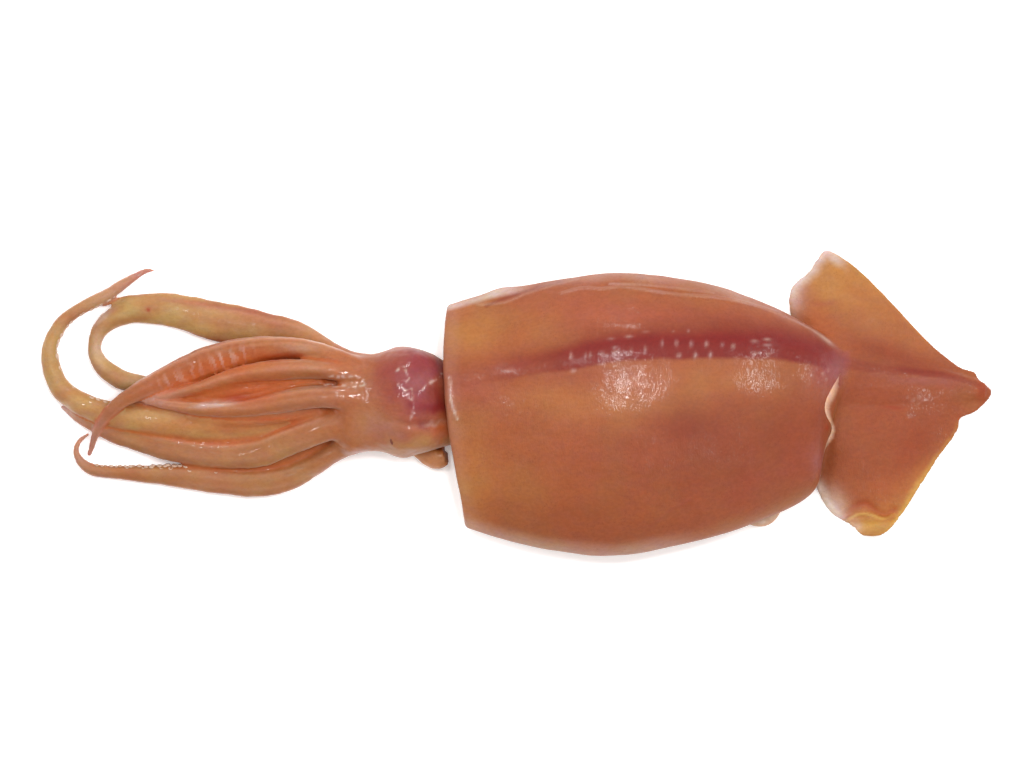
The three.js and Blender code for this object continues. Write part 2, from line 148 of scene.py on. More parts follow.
# The left fin's curled corner: the two ends of the line that it bends along, its height, how far past the
# line it rises, and the shares of the line over which it starts and ends.
CURL_FROM = (146, -43.5)
CURL_TO = (169, -41.5)
CURL_HEIGHT = 4.2
CURL_REACH = (-0.5, 3.6)
CURL_START = (-0.15, 0.15)
CURL_END = (0.85, 1.1)

# The flattened end of the mantle tube between the fins: x, y, z and width.
TAIL = [
    (126, 15.2, 5.6, 27), (140, 12.8, 5.4, 25), (155, 10.6, 4.7, 20.5), (170, 8.4, 4, 15.5),
    (184, 6.3, 3.3, 11), (194, 4.9, 2.8, 8), (199, 4, 2.4, 5.4),
]
TAIL_DEPTH = 0.42
TAIL_SIDES = 40
# Where the flesh between the tail and the mantle is filled: middle and half size along X and along Y.
TAIL_JOIN_X = (147, 13)
TAIL_JOIN_Y = (14, 11)
# Where it is filled between the tail and the fins: spans along X and from the fins' edge, and the passes.
FIN_SEAM = (142, 150)
FIN_SEAM_GAP = (4, 8)
JOIN_PASSES = 90
# Where the fins' edges are worn thin: span along X, and the height that they all lie under.
FIN_WEAR_SPAN = (132, 140)
FIN_WEAR_BELOW = 9

# Stations of the head from the crown of the arms to the neck: x, right edge, left edge, top, underside.
HEAD = [
    (-43, 11, -13, 15, 5), (-37.5, 17.5, -19, 20.5, 2), (-32, 17.9, -18.9, 22.5, 1),
    (-26.5, 18.1, -18.1, 24, 0.3), (-21, 19.4, -19, 26.5, 0), (-16, 20.6, -20.2, 28, 0),
    (-10.5, 19.7, -19.3, 27.6, 0.3), (-5, 17.5, -17.6, 24.5, 1), (0, 14.8, -16.2, 20.2, 2),
    (8.5, 12, -14.5, 18.5, 3), (20, 9, -12.5, 17, 3), (34, 6, -10, 16, 3),
]
HEAD_RINGS = 90
HEAD_SIDES = 64
# Power of the arch of the head's top and underside.
HEAD_ARCH = 0.85
# The bulge round each eye: its middle, mirrored for the other side, and half its size.
EYE_BULGE = (-16, 13.8, 13)
EYE_BULGE_SIZE = (8.5, 7, 8.5)

# The arms: x, y, z and width, from inside the head to the tip.
ARMS = {
    "upper_loop": [
        (-26, 11.3, 12, 9), (-37.5, 15.6, 11, 8.2), (-47.6, 21, 8.5, 8.5), (-56.5, 25, 6.5, 10.2),
        (-65.5, 26.4, 5, 12), (-75, 28.2, 4.2, 13.4), (-85.5, 29.9, 4, 14.2), (-96.3, 32.8, 3.8, 12.6),
        (-105.5, 34.4, 3.4, 11.6), (-115, 34.2, 3.2, 9.8), (-122.4, 31.6, 3, 7.8), (-128.2, 27, 2.8, 6),
        (-130.4, 20.5, 2.8, 4.6), (-129.3, 16, 3, 5.6), (-125.9, 11.8, 3.2, 6.8), (-120.2, 8.2, 3.3, 7),
        (-113.5, 6.8, 3.4, 6.2), (-104, 5.2, 3.4, 4.8), (-95, 3.7, 3.2, 2.6),
    ],
    "crossing": [
        (-26, 9.6, 15, 8.4), (-37.5, 14.8, 17, 7.7), (-48.7, 18.8, 15.5, 7.4), (-61.5, 20, 13.5, 8.1),
        (-74.5, 18.6, 12, 10), (-86.7, 15.4, 10.8, 10.9), (-97.8, 11, 9.8, 10.2), (-107.7, 6.7, 9.8, 8),
        (-117, 2.2, 10.6, 6), (-123.2, -2.4, 10.4, 4.6), (-127.3, -7, 8.2, 3.6), (-129.9, -11.8, 4.6, 2.8),
        (-131.4, -16.2, 2, 2.2), (-132.5, -19.9, 1.2, 1.2),
    ],
    "top_right": [
        (-25.5, 6.6, 17.5, 7.6), (-37.5, 10.7, 19.5, 7.4), (-50.6, 12.2, 18.5, 7), (-61.6, 11.8, 17, 7.4),
        (-72.7, 10.7, 15.5, 6.6), (-82, 8.5, 14.4, 5.5), (-90, 5.9, 13.4, 4.4), (-97.8, 3.7, 12.4, 3.5),
        (-104.8, 2.2, 11.5, 2.6), (-111, 1.1, 10.8, 1.3),
    ],
    "top_left": [
        (-25.5, 1.5, 18, 8), (-37.5, 1.8, 20, 8.9), (-48.7, 1.8, 18.5, 8.1), (-59.8, 0.4, 16.5, 8.1),
        (-70.8, -1.5, 14.8, 6.6), (-82, -2.6, 13.2, 5.5), (-93, -2.2, 12.2, 4.8), (-102.2, -1.1, 11.2, 3.7),
        (-109.6, 0, 10.6, 2.4), (-115, 1.1, 10.2, 1.1),
    ],
    "broad_left": [
        (-26, -3.7, 14.5, 9), (-37.5, -7, 15.5, 10.3), (-48.7, -10.7, 13.5, 10.6),
        (-59.8, -14.8, 11, 10.8), (-69.7, -18.5, 9, 10.6), (-80.8, -19.5, 7.4, 10),
        (-91.9, -18.9, 6.2, 9.6), (-103, -17, 5.2, 8.8), (-113.3, -14.6, 4.2, 7.6),
        (-122.5, -11.9, 3.4, 6.8), (-129.9, -8.6, 2.8, 5.4), (-136.2, -5.4, 2.2, 4.2),
        (-142.8, -1.5, 1.2, 1.4),
    ],
    "outer_loop": [
        (-35.8, -1.1, 12, 8.1), (-46.9, -3.7, 11, 8.5), (-59.8, -6.6, 9.4, 9.8), (-72.7, -8.9, 8.4, 11.6),
        (-87.5, -9, 7.8, 12), (-102.2, -7, 7.2, 11.6), (-113.3, -6, 6.8, 10), (-122.5, -4.9, 6.2, 9.2),
        (-131.7, -2.2, 5.2, 8.4), (-137.6, 0.8, 4.2, 8), (-142.9, 5, 3.3, 7.4), (-146.1, 11.6, 3, 6.8),
        (-146.9, 20.4, 3, 5.6), (-143.4, 27.9, 3, 5), (-138.3, 32.8, 3.2, 4.4), (-132, 36.4, 3.8, 4.6),
        (-125.8, 39.5, 4, 4.5), (-119.8, 43.6, 3.2, 3.6), (-114.8, 46.8, 2.2, 2.5),
        (-111.2, 48.6, 1.6, 1.7), (-108.3, 48.6, 1.2, 0.8),
    ],
    "lowest": [
        (-26, -9.6, 12, 9.6), (-36.5, -15.8, 9.5, 8.2), (-43.9, -19.8, 7.6, 8), (-51.3, -24.1, 6, 9),
        (-59.8, -28, 5, 10), (-70.8, -29.7, 4.4, 10.6), (-83.8, -28.9, 4, 9.8), (-96.7, -27.6, 3.5, 8.6),
        (-109.6, -26.8, 3.1, 6.4), (-120, -26.2, 2.8, 5.2), (-127.5, -25.6, 2.5, 4.5),
        (-131.7, -24.8, 2.4, 4.2), (-134.8, -22.8, 2.3, 3.4), (-136.7, -20.2, 2.1, 2.6),
        (-137.2, -17.6, 2, 2.1), (-136.4, -15.1, 1.8, 1.8), (-134.7, -13.2, 1.6, 1.5),
        (-132.4, -11.8, 1.5, 1),
    ],
    "under_middle": [
        (-28.4, 3.7, 12, 8.9), (-43.2, 6.6, 13, 8.9), (-57.9, 7.1, 12.5, 9.4), (-72.7, 5.3, 11.5, 10.4),
        (-87.5, 3.4, 9.6, 9.4), (-102.2, 1.4, 7, 8.6), (-112.5, 0.4, 5.4, 6.4), (-120.5, 1.4, 3.4, 2.4),
    ],
    "under_left": [
        (-28.4, -7.4, 6.5, 8.9), (-41, -12.8, 5.4, 9), (-54, -18, 4.6, 9.4), (-68, -21.6, 3.8, 8.6),
        (-82, -22.4, 3, 7.4), (-93, -21.3, 2.6, 5.8), (-102, -18.8, 2, 3.4), (-109.6, -15.8, 1.6, 1.3),
    ],
    "under_right": [
        (-28.4, 11.1, 6.5, 8.9), (-43.2, 16.2, 5, 8.9), (-57.9, 18.4, 4.2, 8.9), (-70.8, 19.6, 3.4, 7.4),
        (-80.8, 19.6, 2.6, 5.2), (-90.5, 17.7, 1.8, 2),
    ],
}
# An arm's depth as a share of its width, the greatest depth, and the least width at which it is drawn.
ARM_DEPTH = 0.8
ARM_DEEPEST = 6.5
LIMB_LEAST = 0.7
# Sides of the arms and of the webs between them, and the steps along them.
ARM_SIDES = 28
ARM_STEP = 0.9
WEB_SIDES = 14
WEB_STEP = 0.8
# Passes that wear the crown smooth and that fill the valleys between the arms, and how strong they are.
CROWN_PASSES = 34
CROWN_WEAR = 0.9
VALLEY_PASSES = 60
VALLEY_FILL = 0.85

# The lip of skin rolled back at the rear end of the mantle: x, y, z and width.
LIP = [
    (145, 10.6, 10.6, 1.6), (143.6, 8, 11.6, 2.6), (141.4, 4, 12, 3.4), (139.7, 0.6, 12, 3.1),
    (139.2, -2.6, 12, 2.6), (140.1, -5.6, 11.6, 2.1), (141.7, -8.2, 10.8, 1.5), (142.1, -10.2, 9.8, 1.6),
    (141.2, -13, 9.2, 1.9), (139.8, -16, 8.8, 1.6), (138.8, -19.4, 8.4, 1.2),
]
# Section of that rolled skin from its left edge over the roll and down to the tail: share of its width and
# rise over the flesh in millimetres.
LIP_SECTION = [
    (0.0, -0.7), (-0.08, -0.1), (-0.02, 0.35), (0.14, 0.5), (0.35, 0.38), (0.7, 0.14), (1.0, -0.05),
    (1.3, -0.4), (1.2, -0.7), (0.6, -0.8),
]
LIP_STEP = 0.3
LIP_SIDES = 36
# Shares of its length over which it starts and ends, and where the flesh whose colours it takes lies: after
# that x, over that height and as far as that to both sides.
LIP_START = (-0.02, 0.22)
LIP_END = (1.02, 0.8)
LIP_FLESH = (134, 1.5, 26)
# The funnel, and the scrap of skin under the mantle's left edge: x, y, z and width. Then the depth of each as
# a share of its width, their sides, the step along them and the size of their faces.
FUNNEL = [(-14, -14.5, 5.4, 5.5), (-9, -17.6, 5, 8), (-4, -20, 5.2, 9.6), (-0.4, -19.6, 6.2, 7)]
SCRAP = [(109, -38.5, 2, 7), (113.5, -41.6, 2, 8.4), (118, -41.8, 2, 7.6), (122, -38.4, 2, 5)]
FUNNEL_DEPTH = 0.8
SCRAP_DEPTH = 0.3
LOOSE_SIDES = 32
LOOSE_STEP = 0.5
LOOSE_GRAIN = 0.4
# The straight crease across the funnel: a point on it, its slope, its depth, and its half width in the flesh
# and in the painted shade.
FUNNEL_CREASE = (-4, -16.6)
FUNNEL_CREASE_SLOPE = 0.25
FUNNEL_CREASE_DEPTH = 0.6
FUNNEL_CREASE_WIDTH = 0.8
FUNNEL_CREASE_SHADE = 1.2
# The funnel's mouth, painted pale as a highlight: span along X, how that slants, and the middle it slants
# about.
FUNNEL_MOUTH = (-0.8, 0.6)
FUNNEL_MOUTH_SLOPE = 0.12
FUNNEL_MOUTH_MIDDLE = -18
# The web beside the upper loop, and the flesh deep between the upper arms: x, y, z and width.
WEB = [
    (-98, 37.6, 3.4, 1.6), (-106.3, 38.9, 3.2, 2.2), (-114.2, 38.9, 3, 2), (-121, 37.9, 3, 1.8),
    (-127.5, 36, 3.2, 2),
]
SEAMS = [
    [(-46, 14.5, 12.5, 5), (-58, 16, 11.4, 5.4), (-70, 15, 10.4, 6), (-82, 12.2, 9.4, 6), (-94, 8.4, 8.4, 5)],
    [(-46, -3, 14, 6), (-60, -4.6, 13, 6), (-72, -6, 11.6, 6), (-84, -6.6, 10.4, 5), (-96, -5.4, 9.4, 4.4)],
    [(-46, 6.6, 16, 4), (-58, 6.6, 15, 4.4), (-70, 5, 14, 4.4), (-82, 3.4, 12, 4)],
]

# ---- markings ------------------------------------------------------------------------------------------

# The dark stripe over the keel, from the collar on to the tip of the tail: x, y, half width and strength.
STRIPE = [
    (0, 10, 6, 0.12), (20, 12.4, 5, 0.25), (34, 14.2, 4.4, 0.6), (45, 16.2, 4.9, 0.9), (62, 19.9, 5.2, 1),
    (90, 20.9, 5.4, 1), (116.5, 21, 5.6, 1), (132.8, 18.8, 5.4, 0.95), (140, 16.6, 4.2, 0.75),
    (147, 14.4, 2.4, 0.4), (160, 12.4, 1.6, 0.4), (174.5, 10.8, 1.3, 0.6), (184, 9.6, 1.2, 0.5),
    (192, 7.8, 1.2, 0.4), (198.5, 5, 1.2, 0.3),
]
# Where the stripe ends and where it is full, in half widths, on its soft right side and its sharp left side,
# and the same for the blush beside it with the blush's strength.
STRIPE_SOFT_SIDE = (1.45, 0.4)
STRIPE_SHARP_SIDE = (1.1, 0.75)
STRIPE_BLUSH = (2.2, 0.8)
STRIPE_BLUSH_STRENGTH = 0.45

# Lines on the mantle, tail and fins, as x and y. The side fold runs along the mantle's right side, with a
# shorter one above it, and the front fold runs out over the edge with a red streak beside it. The left crease
# is low on the left side, the curl's crease and edge are at the left fin's corner, and the collar's glint
# line, a low ridge painted with a pale highlight, is just behind its edge.
LINES = {
    "side_fold": [
        (42, 39.8), (49.8, 41.8), (56.5, 41.5), (63.8, 42.3), (70.9, 41.5), (78, 40.4), (86, 39.3),
        (100.7, 38.2), (115.5, 34.9), (130.3, 29), (141.3, 22.1),
    ],
    "upper_fold": [(60, 43.4), (66, 43.3), (74, 42.9), (86, 41.6), (98, 40)],
    "front_fold": [(11.4, 35.8), (21, 36.6), (29.2, 39.8), (39.9, 43.2), (48.7, 45.4)],
    "front_streak": [(14.4, 35.4), (22.9, 38.7), (31.4, 41.5), (42.4, 44.3)],
    "left_crease": [(74.2, -45.8), (80.1, -41), (84.7, -38.2), (89.3, -35.8)],
    "tail_crease": [(148, -1.1), (155, -1.3), (161, -1.2), (168, -0.9), (173, -0.6)],
    "curl_crease": [
        (147.2, -42.6), (149.1, -40.2), (151.3, -38.4), (154.6, -37.6), (157.2, -39), (159.8, -41),
        (162.7, -41.8), (165.3, -40.2),
    ],
    "curl_edge": [(148, -43.4), (152.4, -41.6), (156.1, -41.6), (161.3, -43), (165.1, -41.4)],
    "collar_glint_line": [(0.9, 9), (1.1, 5.6), (1.5, 1), (2.6, -3), (3.9, -6.2)],
}
# The folds: line, half its width and its height as a share of the fold height, and where along X they end.
FOLDS = [("side_fold", 0.6, 1), ("upper_fold", 0.5, 0.6), ("front_fold", 0.7, 0.7)]
FOLDS_END = (140, 122)
# The dip on the far side of the side fold: how far off, half width, depth as a share, and its reach.
FOLD_DIP = (1.5, 0.9, 0.4, 6)
# The other lines: line, half width, height in millimetres (a crease's is below 0) and cover.
CREASES = [
    ("left_crease", 0.9, 0.1, "all"), ("collar_glint_line", 0.7, 0.3, "all"), ("tail_crease", 0.9, -0.2, "fins"),
    ("curl_edge", 0.8, 0.7, "fins"), ("curl_crease", 1.2, -0.6, "fins"),
]
# Soft lumps of the skin: size, height and seed, on the mantle as shares of the lump height.
BODY_LUMPS = [(16, 1, 2.2), (7, 0.5, 9.4)]
HEAD_LUMPS = [(6, 0.25, 3.3), (2.4, 0.12, 1.9)]
FIN_GRAIN = (2.4, 0.06, 8.8)
# The bulge of the right edge near the collar: x, half length, height, how far in it starts, and its last x.
SHOULDER = (20, 6, 1.0, 5, 40)

# Small wet beads of skin, each painted with a pale highlight, in two rows along the dark stripe and scattered
# beside it: x, y, length, width and strength.
BEADS = [
    (78.9, 21.6, 0.5, 1.1, 0.8), (84.2, 21.6, 0.5, 1.1, 1.0), (89.6, 21.3, 0.6, 1.1, 0.8),
    (95.2, 21.3, 0.6, 1.0, 1.0), (101, 21, 0.5, 0.8, 0.7), (105, 20.5, 0.7, 0.8, 0.9),
    (85.1, 17.1, 0.8, 0.8, 1.0), (91.1, 17.1, 0.6, 1.1, 1.0), (96.6, 17.2, 0.6, 1.1, 1.0),
    (45.6, 17.1, 0.5, 1.1, 0.9), (50.9, 17.1, 0.5, 1, 0.6), (52.6, 17.3, 0.5, 1, 0.6),
    (56.8, 17.8, 0.9, 0.7, 0.8), (61.6, 19.9, 0.8, 0.5, 0.9), (61.9, 18.3, 0.8, 0.5, 0.9),
    (63.2, 19, 0.4, 0.8, 0.9), (66.8, 24, 1.2, 0.5, 0.8), (60.2, 23.2, 1.2, 0.5, 0.5),
    (46.4, 11.4, 0.9, 0.7, 0.9), (22.6, 11.4, 1.6, 0.6, 0.7), (72.8, 19.4, 0.5, 1.2, 0.7),
    (67.5, 18.6, 0.5, 1.2, 0.5), (112.9, 22.3, 1.2, 0.6, 0.7), (117.6, 23, 1.3, 0.5, 0.9),
    (117.6, 20.9, 1.4, 0.5, 0.7), (113.2, 17.9, 1.3, 0.5, 0.6), (118, 17.6, 1, 0.6, 0.6),
    (73, 25.8, 1.2, 0.4, 0.4), (83, 25.9, 0.6, 0.4, 0.4), (88.6, 26.1, 0.5, 0.6, 0.5),
    (132, 12, 0.4, 0.5, 0.4), (134.2, 9.6, 0.5, 0.4, 0.5), (136, 11.8, 0.4, 0.4, 0.5),
    (133.2, 6.8, 0.5, 0.4, 0.4), (138.2, 10.4, 0.5, 0.5, 0.8), (139.6, 8.4, 0.6, 0.4, 0.8),
    (136.6, 7.2, 0.4, 0.4, 0.5), (130.6, 9.4, 0.4, 0.5, 0.4), (140.4, 11.6, 0.4, 0.5, 0.6),
    (20, 1.6, 0.4, 0.5, 0.4), (24.2, -0.8, 0.4, 0.5, 0.5), (26.8, -3.6, 0.4, 0.4, 0.5),
    (22, -4.8, 0.5, 0.4, 0.3), (28.4, 0.6, 0.3, 0.5, 0.4), (33, -1.4, 0.4, 0.4, 0.4),
    (170.2, 1.8, 0.5, 0.5, 0.5), (172.4, 0.6, 0.6, 0.5, 0.8), (174.6, 1.7, 0.5, 0.7, 0.9),
    (176.8, 0.8, 0.9, 0.4, 0.9), (178.4, 2.2, 0.4, 0.6, 0.7), (171.2, -5.2, 0.9, 0.4, 0.8),
    (174, -0.8, 0.5, 0.4, 0.5),
]
# What a bead adds to the pale film as a painted highlight, the wetness and the skin's height in millimetres.
BEAD_PAINTED_GLINT = 0.34
BEAD_WET = 0.7
BEAD_HEIGHT = 0.12

# Low wet wrinkles on the head and on the crown of the arms, with strokes of painted highlight on them: x and
# y.
HEAD_WRINKLES = [
    [(-13.4, 4.4), (-12.6, -1), (-12.9, -6.6)],
    [(-18.5, 11.6), (-15.5, 12.6), (-14.5, 8.5), (-17.5, 6.5), (-14.6, 4.2)],
    [(-9, 4.6), (-6, 7), (-3.6, 8.6), (-1.6, 10.4)],
    [(-43.2, 9.8), (-38, 9.4), (-31.5, 8.7)],
    [(-45, 6.4), (-38, 6.2), (-31.2, 6), (-30.7, 7.6)],
    [(-40.8, 3.4), (-38.6, 1.2)],
]
WRINKLE_STEP = 0.4
WRINKLE_WIDTH = 0.7
WRINKLE_HEIGHT = 0.14
WRINKLE_GLINT_WIDTH = 0.5

# Soft blots of colour for each mask: x, y, length, width, turn in degrees and strength.
BODY_BLOTS = {
    "gold": [
        (8, -30, 9, 22, 0, 0.6), (25, -30, 22, 16, 0, 0.28), (9, 25, 10, 11, 0, 0.7), (34, 28, 16, 6, 8, 0.4),
        (34, 1, 22, 6, -8, 0.35), (66, -2, 24, 7, -6, 0.4), (96, 8, 18, 5, 0, 0.35),
    ],
    "rose": [
        (10, 5, 13, 8, 0, 0.7), (44, 27, 12, 5, 10, 0.5), (46, 9.6, 13, 3.6, 10, 0.4),
        (60, -18, 34, 12, 4, 0.3), (80, 31, 46, 5, -8, 0.6), (118, -28, 26, 9, 24, 0.7),
    ],
    "blush": [
        (60, 27, 26, 4, 0, 0.3), (108, 27, 30, 6, -10, 0.7), (96, -22, 40, 18, 6, 0.55),
        (40, -42, 34, 8, 0, 0.2), (60, -50, 50, 5, 0, 0.15), (92, -5, 14, 6, 0, 0.35),
        (104, -10, 18, 16, 0, 0.2), (86, -10, 14, 6, -12, 0.35), (128, -8, 12, 18, 0, 0.4),
        # The last blush is painted shadow beside the notch of the rolled skin.
        (137, -6, 3, 8, 0, 0.4),
    ],
    "painted_shade_and_speck": [
        # Painted shade in the notch of the rolled skin.
        (140.2, -8.9, 1.3, 0.8, -20, 0.6),
    ],
    "purple": [
        (141, 14, 7, 8, -20, 0.8), (24, 12.6, 7, 2.6, 8, 0.35),
    ],
    "lilac": [
        (143, 12, 5, 8, -20, 0.5), (138, -22, 4, 6, 14, 0.5),
    ],
    "film": [
        (139, 24.5, 4, 1, -36, 0.35), (129, 30, 6, 0.9, -30, 0.15),
    ],
}
FIN_BLOTS = {
    "gold": [
        (153, 41, 18, 9, -45, 1.0), (140, 45, 10, 10, 0, 0.9), (166, 30, 20, 4.5, -46, 0.45),
        (172, -33, 18, 4, 58, 0.8), (156, -42, 12, 4, 0, 0.8), (162, -26, 16, 10, 0, 0.2),
    ],
    "orange_and_painted_glow": [
        (137, 30, 6, 4.5, -30, 0.35), (164, -14, 18, 16, 0, 0.2), (163, -35, 10, 8, 40, 0.3),
    ],
    "film": [
        (128.5, 38, 4, 8, 0, 0.5), (138.4, 53.6, 3.4, 2.6, 0, 0.4), (151, -46.5, 3, 2.6, 4, 0.5),
        (144, -37.5, 5, 6.5, 30, 0.45),
    ],
    "blush": [
        (166, -12, 18, 16, 0, 0.4), (164, 30, 16, 5, -46, 0.3), (170, 15, 20, 4.5, -16, 0.7),
        (156, 14, 8, 8, 0, 0.4), (158, -16, 18, 12, 0, 0.25), (156, -24, 18, 12, 0, 0.2),
        (175, -14, 16, 7, 58, 0.3),
    ],
    "cream": [
        (156, -46, 12, 3, 0, 0.9), (146, -39, 4, 6, 30, 0.3),
    ],
    "rose": [
        (160, 3, 26, 6, -6, 0.4), (186, 6, 10, 3, -14, 0.5), (140, 36.5, 5, 1, 6, 0.5),
    ],
    "lilac": [
        (174, 7.6, 14, 1.4, -6, 0.35),
    ],
    "painted_shade_and_speck": [
        # Painted shade at the notches of the tail's tip and in the tail's crease.
        (198, 4, 3, 4, 0, 0.6), (188, -7, 3, 4, 0, 0.3), (164.5, -1.1, 3.5, 0.6, 0, 0.6),
    ],
}
HEAD_BLOTS = {
    # The two films on the crown are painted highlights, and the last film lifts the collar's shade off the
    # neck as painted light.
    "film": [
        (-38, 5.9, 6, 1.2, 0, 0.55), (-39.6, 2.6, 1.8, 2.2, 0, 0.45), (-25, -9.5, 9, 5, 0, 0.15),
        (-4.5, -7.4, 3.4, 0.6, 4, 0.35), (-3, -12.5, 4, 3, 0, 0.12),
    ],
    "gold": [
        (0, -10, 4, 8, 0, 0.4), (-14, -16.5, 10, 3.5, 8, 0.25), (-34, -6, 6, 6, 0, 0.3),
        # This gold is painted light that lifts the collar's shade off the neck.
        (-4, -14, 7, 4, 0, 0.35),
    ],
    # Painted light that lifts the collar's shade off the neck.
    "orange_and_painted_glow": [
        (-1, -8, 3.4, 9, 0, 0.9), (-3, -12, 5, 3, 0, 0.6),
    ],
    "purple": [
        (-11, 11, 10, 9, 0, 0.9), (-13, 3, 8, 6, 0, 0.6), (-8, -2.5, 8, 3.5, 0, 0.7), (-5, 14, 7, 4, 0, 0.6),
        (-9, -8.5, 6, 3, 0, 0.45), (-22, 12, 5, 5, 0, 0.3), (-14, 19, 12, 2.5, 0, 0.4),
    ],
    # Painted shade where the head runs in under the collar.
    "stripe": [
        (-3.4, 0.8, 4, 5.5, 14, 0.9), (-6, -2.5, 4, 2, 0, 0.5),
    ],
    # Painted shadow deep where the head runs in under the collar.
    "painted_shade_and_speck": [
        (-5.6, -2.7, 1.4, 1.1, 0, 0.6),
    ],
    "lilac": [
        (-10, 7, 5, 4, 20, 0.5),
    ],
    "rose": [
        (-9, -7.6, 5, 1.6, -10, 0.6), (-24, 6, 9, 12, 0, 0.7), (-20, -11, 12, 4, 0, 0.6),
    ],
}
ARM_BLOTS = {
    # The films at (-85.5, -0.9), (-127.4, 31.2) and (-141, -2.5) are painted highlights on wet facets and
    # edges.
    "film": [
        (-85.5, -0.9, 7, 1, 4, 0.9), (-129, 19, 2.6, 7, 0, 0.4), (-54, 20, 8, 1.6, 0, 0.2),
        (-127.4, 31.2, 4.5, 1, 40, 0.6), (-141, -2.5, 5, 1, -40, 0.5),
    ],
    "rose": [
        (-122, 42, 16, 5, 28, 0.4), (-138, 30, 5, 8, -30, 0.25), (-46, 4, 8, 12, 0, 0.4),
        (-80, 21.5, 18, 1.4, -12, 0.5), (-86, 35.5, 24, 1.4, -8, 0.8), (-66, 30, 12, 3, -12, 0.6),
        (-90, -19, 30, 4, 2, 0.35), (-113, 46, 7, 4, 30, 0.8),
    ],
    # Painted shade in the hollows between the arms, and at (-110.3, 34.2) a dark speck of the skin.
    "painted_shade_and_speck": [
        (-77.5, 1.6, 5, 1.5, 4, 0.9), (-64, 16.4, 7, 1.6, 4, 0.8), (-55, 17, 4, 1.2, 0, 0.6),
        (-109, 48.4, 2, 1, 0, 0.6), (-110.3, 34.2, 0.7, 0.7, 0, 1.6),
    ],
    # Painted orange glow of shade in the hollows between the arms.
    "orange_and_painted_glow": [
        (-76, 14, 14, 3.4, 10, 0.9), (-72, 4, 15, 5, 6, 0.9), (-90, -8, 26, 3.4, 2, 0.4),
        (-66, -7, 12, 2, 8, 0.5), (-98, 7, 8, 1.6, 26, 0.9),
    ],
}
# Where the skin is wettest, in the same columns.
WET_BODY = {
    "wet": [
        (67, 4.6, 13, 8, 0, 1.0), (49, 15.5, 5, 2.4, 8, 0.25), (63, 17, 5, 4, 0, 0.5),
        (65, 28.2, 5, 0.5, 0, 0.8), (22, 12.5, 4, 2, 0, 0.9), (26, 2, 10, 6, 6, 0.3), (21, -1, 5, 4, 0, 0.4),
        (115, 9, 7, 7, 0, 0.6), (116, 20, 6, 3, 0, 0.9), (138, 12, 8, 5, 0, 0.5), (134, 4, 7, 5, 0, 0.4),
        (174, 1, 7, 2.4, 0, 1.0), (172, -5, 2.5, 1.4, 0, 1.0),
    ],
}
WET_ARMS = {
    "wet": [
        (-55.7, -23.6, 4, 1.4, 25, 1.0), (-57, -3.7, 7, 1.2, 4, 1.0), (-85.6, -0.4, 8, 1.4, 4, 1.0),
        (-125.4, 33.4, 3, 2, 40, 0.9), (-140.6, -1.7, 4, 1.6, -40, 0.8), (-86, 19, 10, 2, -16, 0.6),
        (-14, 8, 5, 4, 0, 0.7), (-14.5, 0, 2.4, 8, 0, 0.9), (-4, 8.6, 5, 1.6, 45, 0.8),
    ],
}

# The colours over the body's flesh from the lowest to the topmost: mask, and its colour and how far it shows.
BODY_LAYERS = {
    "gold": ("gold", 1.0),
    "rose": ("rose", 1.0),
    "blush": ("blush", 1.0),
    "orange_and_painted_glow": ("orange_and_painted_glow", 1.0),
    "purple": ("purple", 1.0),
    "stripe": ("stripe", 0.9),
    "lilac": ("lilac", 1.0),
    "cream": ("cream", 1.0),
    "painted_shade_and_speck": ("painted_shade_and_speck", 1.0),
    "film": ("film", 1.0),
    "lining": ("lining", 1.0),
    "pale_belly": ("film", 0.25),
}
# The same for the head and arms, and for the funnel.
ARM_LAYERS = {
    "gold": ("arm_gold", 1.0),
    "rose": ("rose", 0.9),
    "blush": ("blush", 0.8),
    "ridge": ("ridge", 0.65),
    "orange_and_painted_glow": ("orange_and_painted_glow", 0.85),
    "painted_shade_and_speck": ("painted_shade_and_speck", 0.85),
    "purple": ("purple", 0.95),
    "stripe": ("stripe", 0.85),
    "lilac": ("lilac", 0.9),
    "film": ("film", 0.8),
}
FUNNEL_LAYERS = {"painted_shade_and_speck": ("painted_shade_and_speck", 0.8), "film": ("film", 1.0)}

# Bands of colour along the mantle's edges: mask, edge, gaps from the edge where the band ends and where it is
# full, strength, cover, and the spans along X over which it begins or ends.
EDGE_BANDS = [
    ("film", "right", (4.2, 0.5), 0.22, "patchy", ((24, 44), (134, 122))),
    ("film", "right", (3, 1), 0.55, "thick", ((34, 22),)),
    # The gold and the film along the left edge are painted light that lifts the shade off that edge.
    ("gold", "left", (6, 1), 0.35, "even", ()),
    ("film", "left", (6, 0.5), 0.24, "even", ((98, 72),)),
    ("film", "collar", (7, 1), 0.08, "even", ()),
]
# Colour along the lines: line, mask, half width, strength and cover.
LINE_MARKS = [
    ("side_fold", "film", 0.45, 0.25, "patchy"),
    ("upper_fold", "film", 0.4, 0.25, "patchy"),
    ("front_fold", "film", 0.45, 0.25, "patchy"),
    ("left_crease", "rose", 0.7, 0.25, "even"),
    # The collar's glint line gets a painted highlight.
    ("collar_glint_line", "film", 0.4, 0.8, "spotty"),
    ("front_streak", "blush", 0.7, 0.8, "even"),
    # Painted shade in the curl's crease.
    ("curl_crease", "painted_shade_and_speck", 1.3, 0.45, "fins"),
    ("curl_edge", "cream", 0.5, 0.9, "fins"),
]
COLLAR_WET_WIDTH = 0.8
# The collar's edge as it lies: its left and right ends as y and x, the middle between them and half its
# width.
COLLAR_ENDS = ((-46.5, 7.5), (36, 0.5))
COLLAR_MIDDLE = -5
COLLAR_HALF = 41
# Wetness of the skin and how much wetter the pocket's lining is, and where the lining ends.
SKIN_WET = 0.1
LINING_WET = 0.3
LINING_END = 45

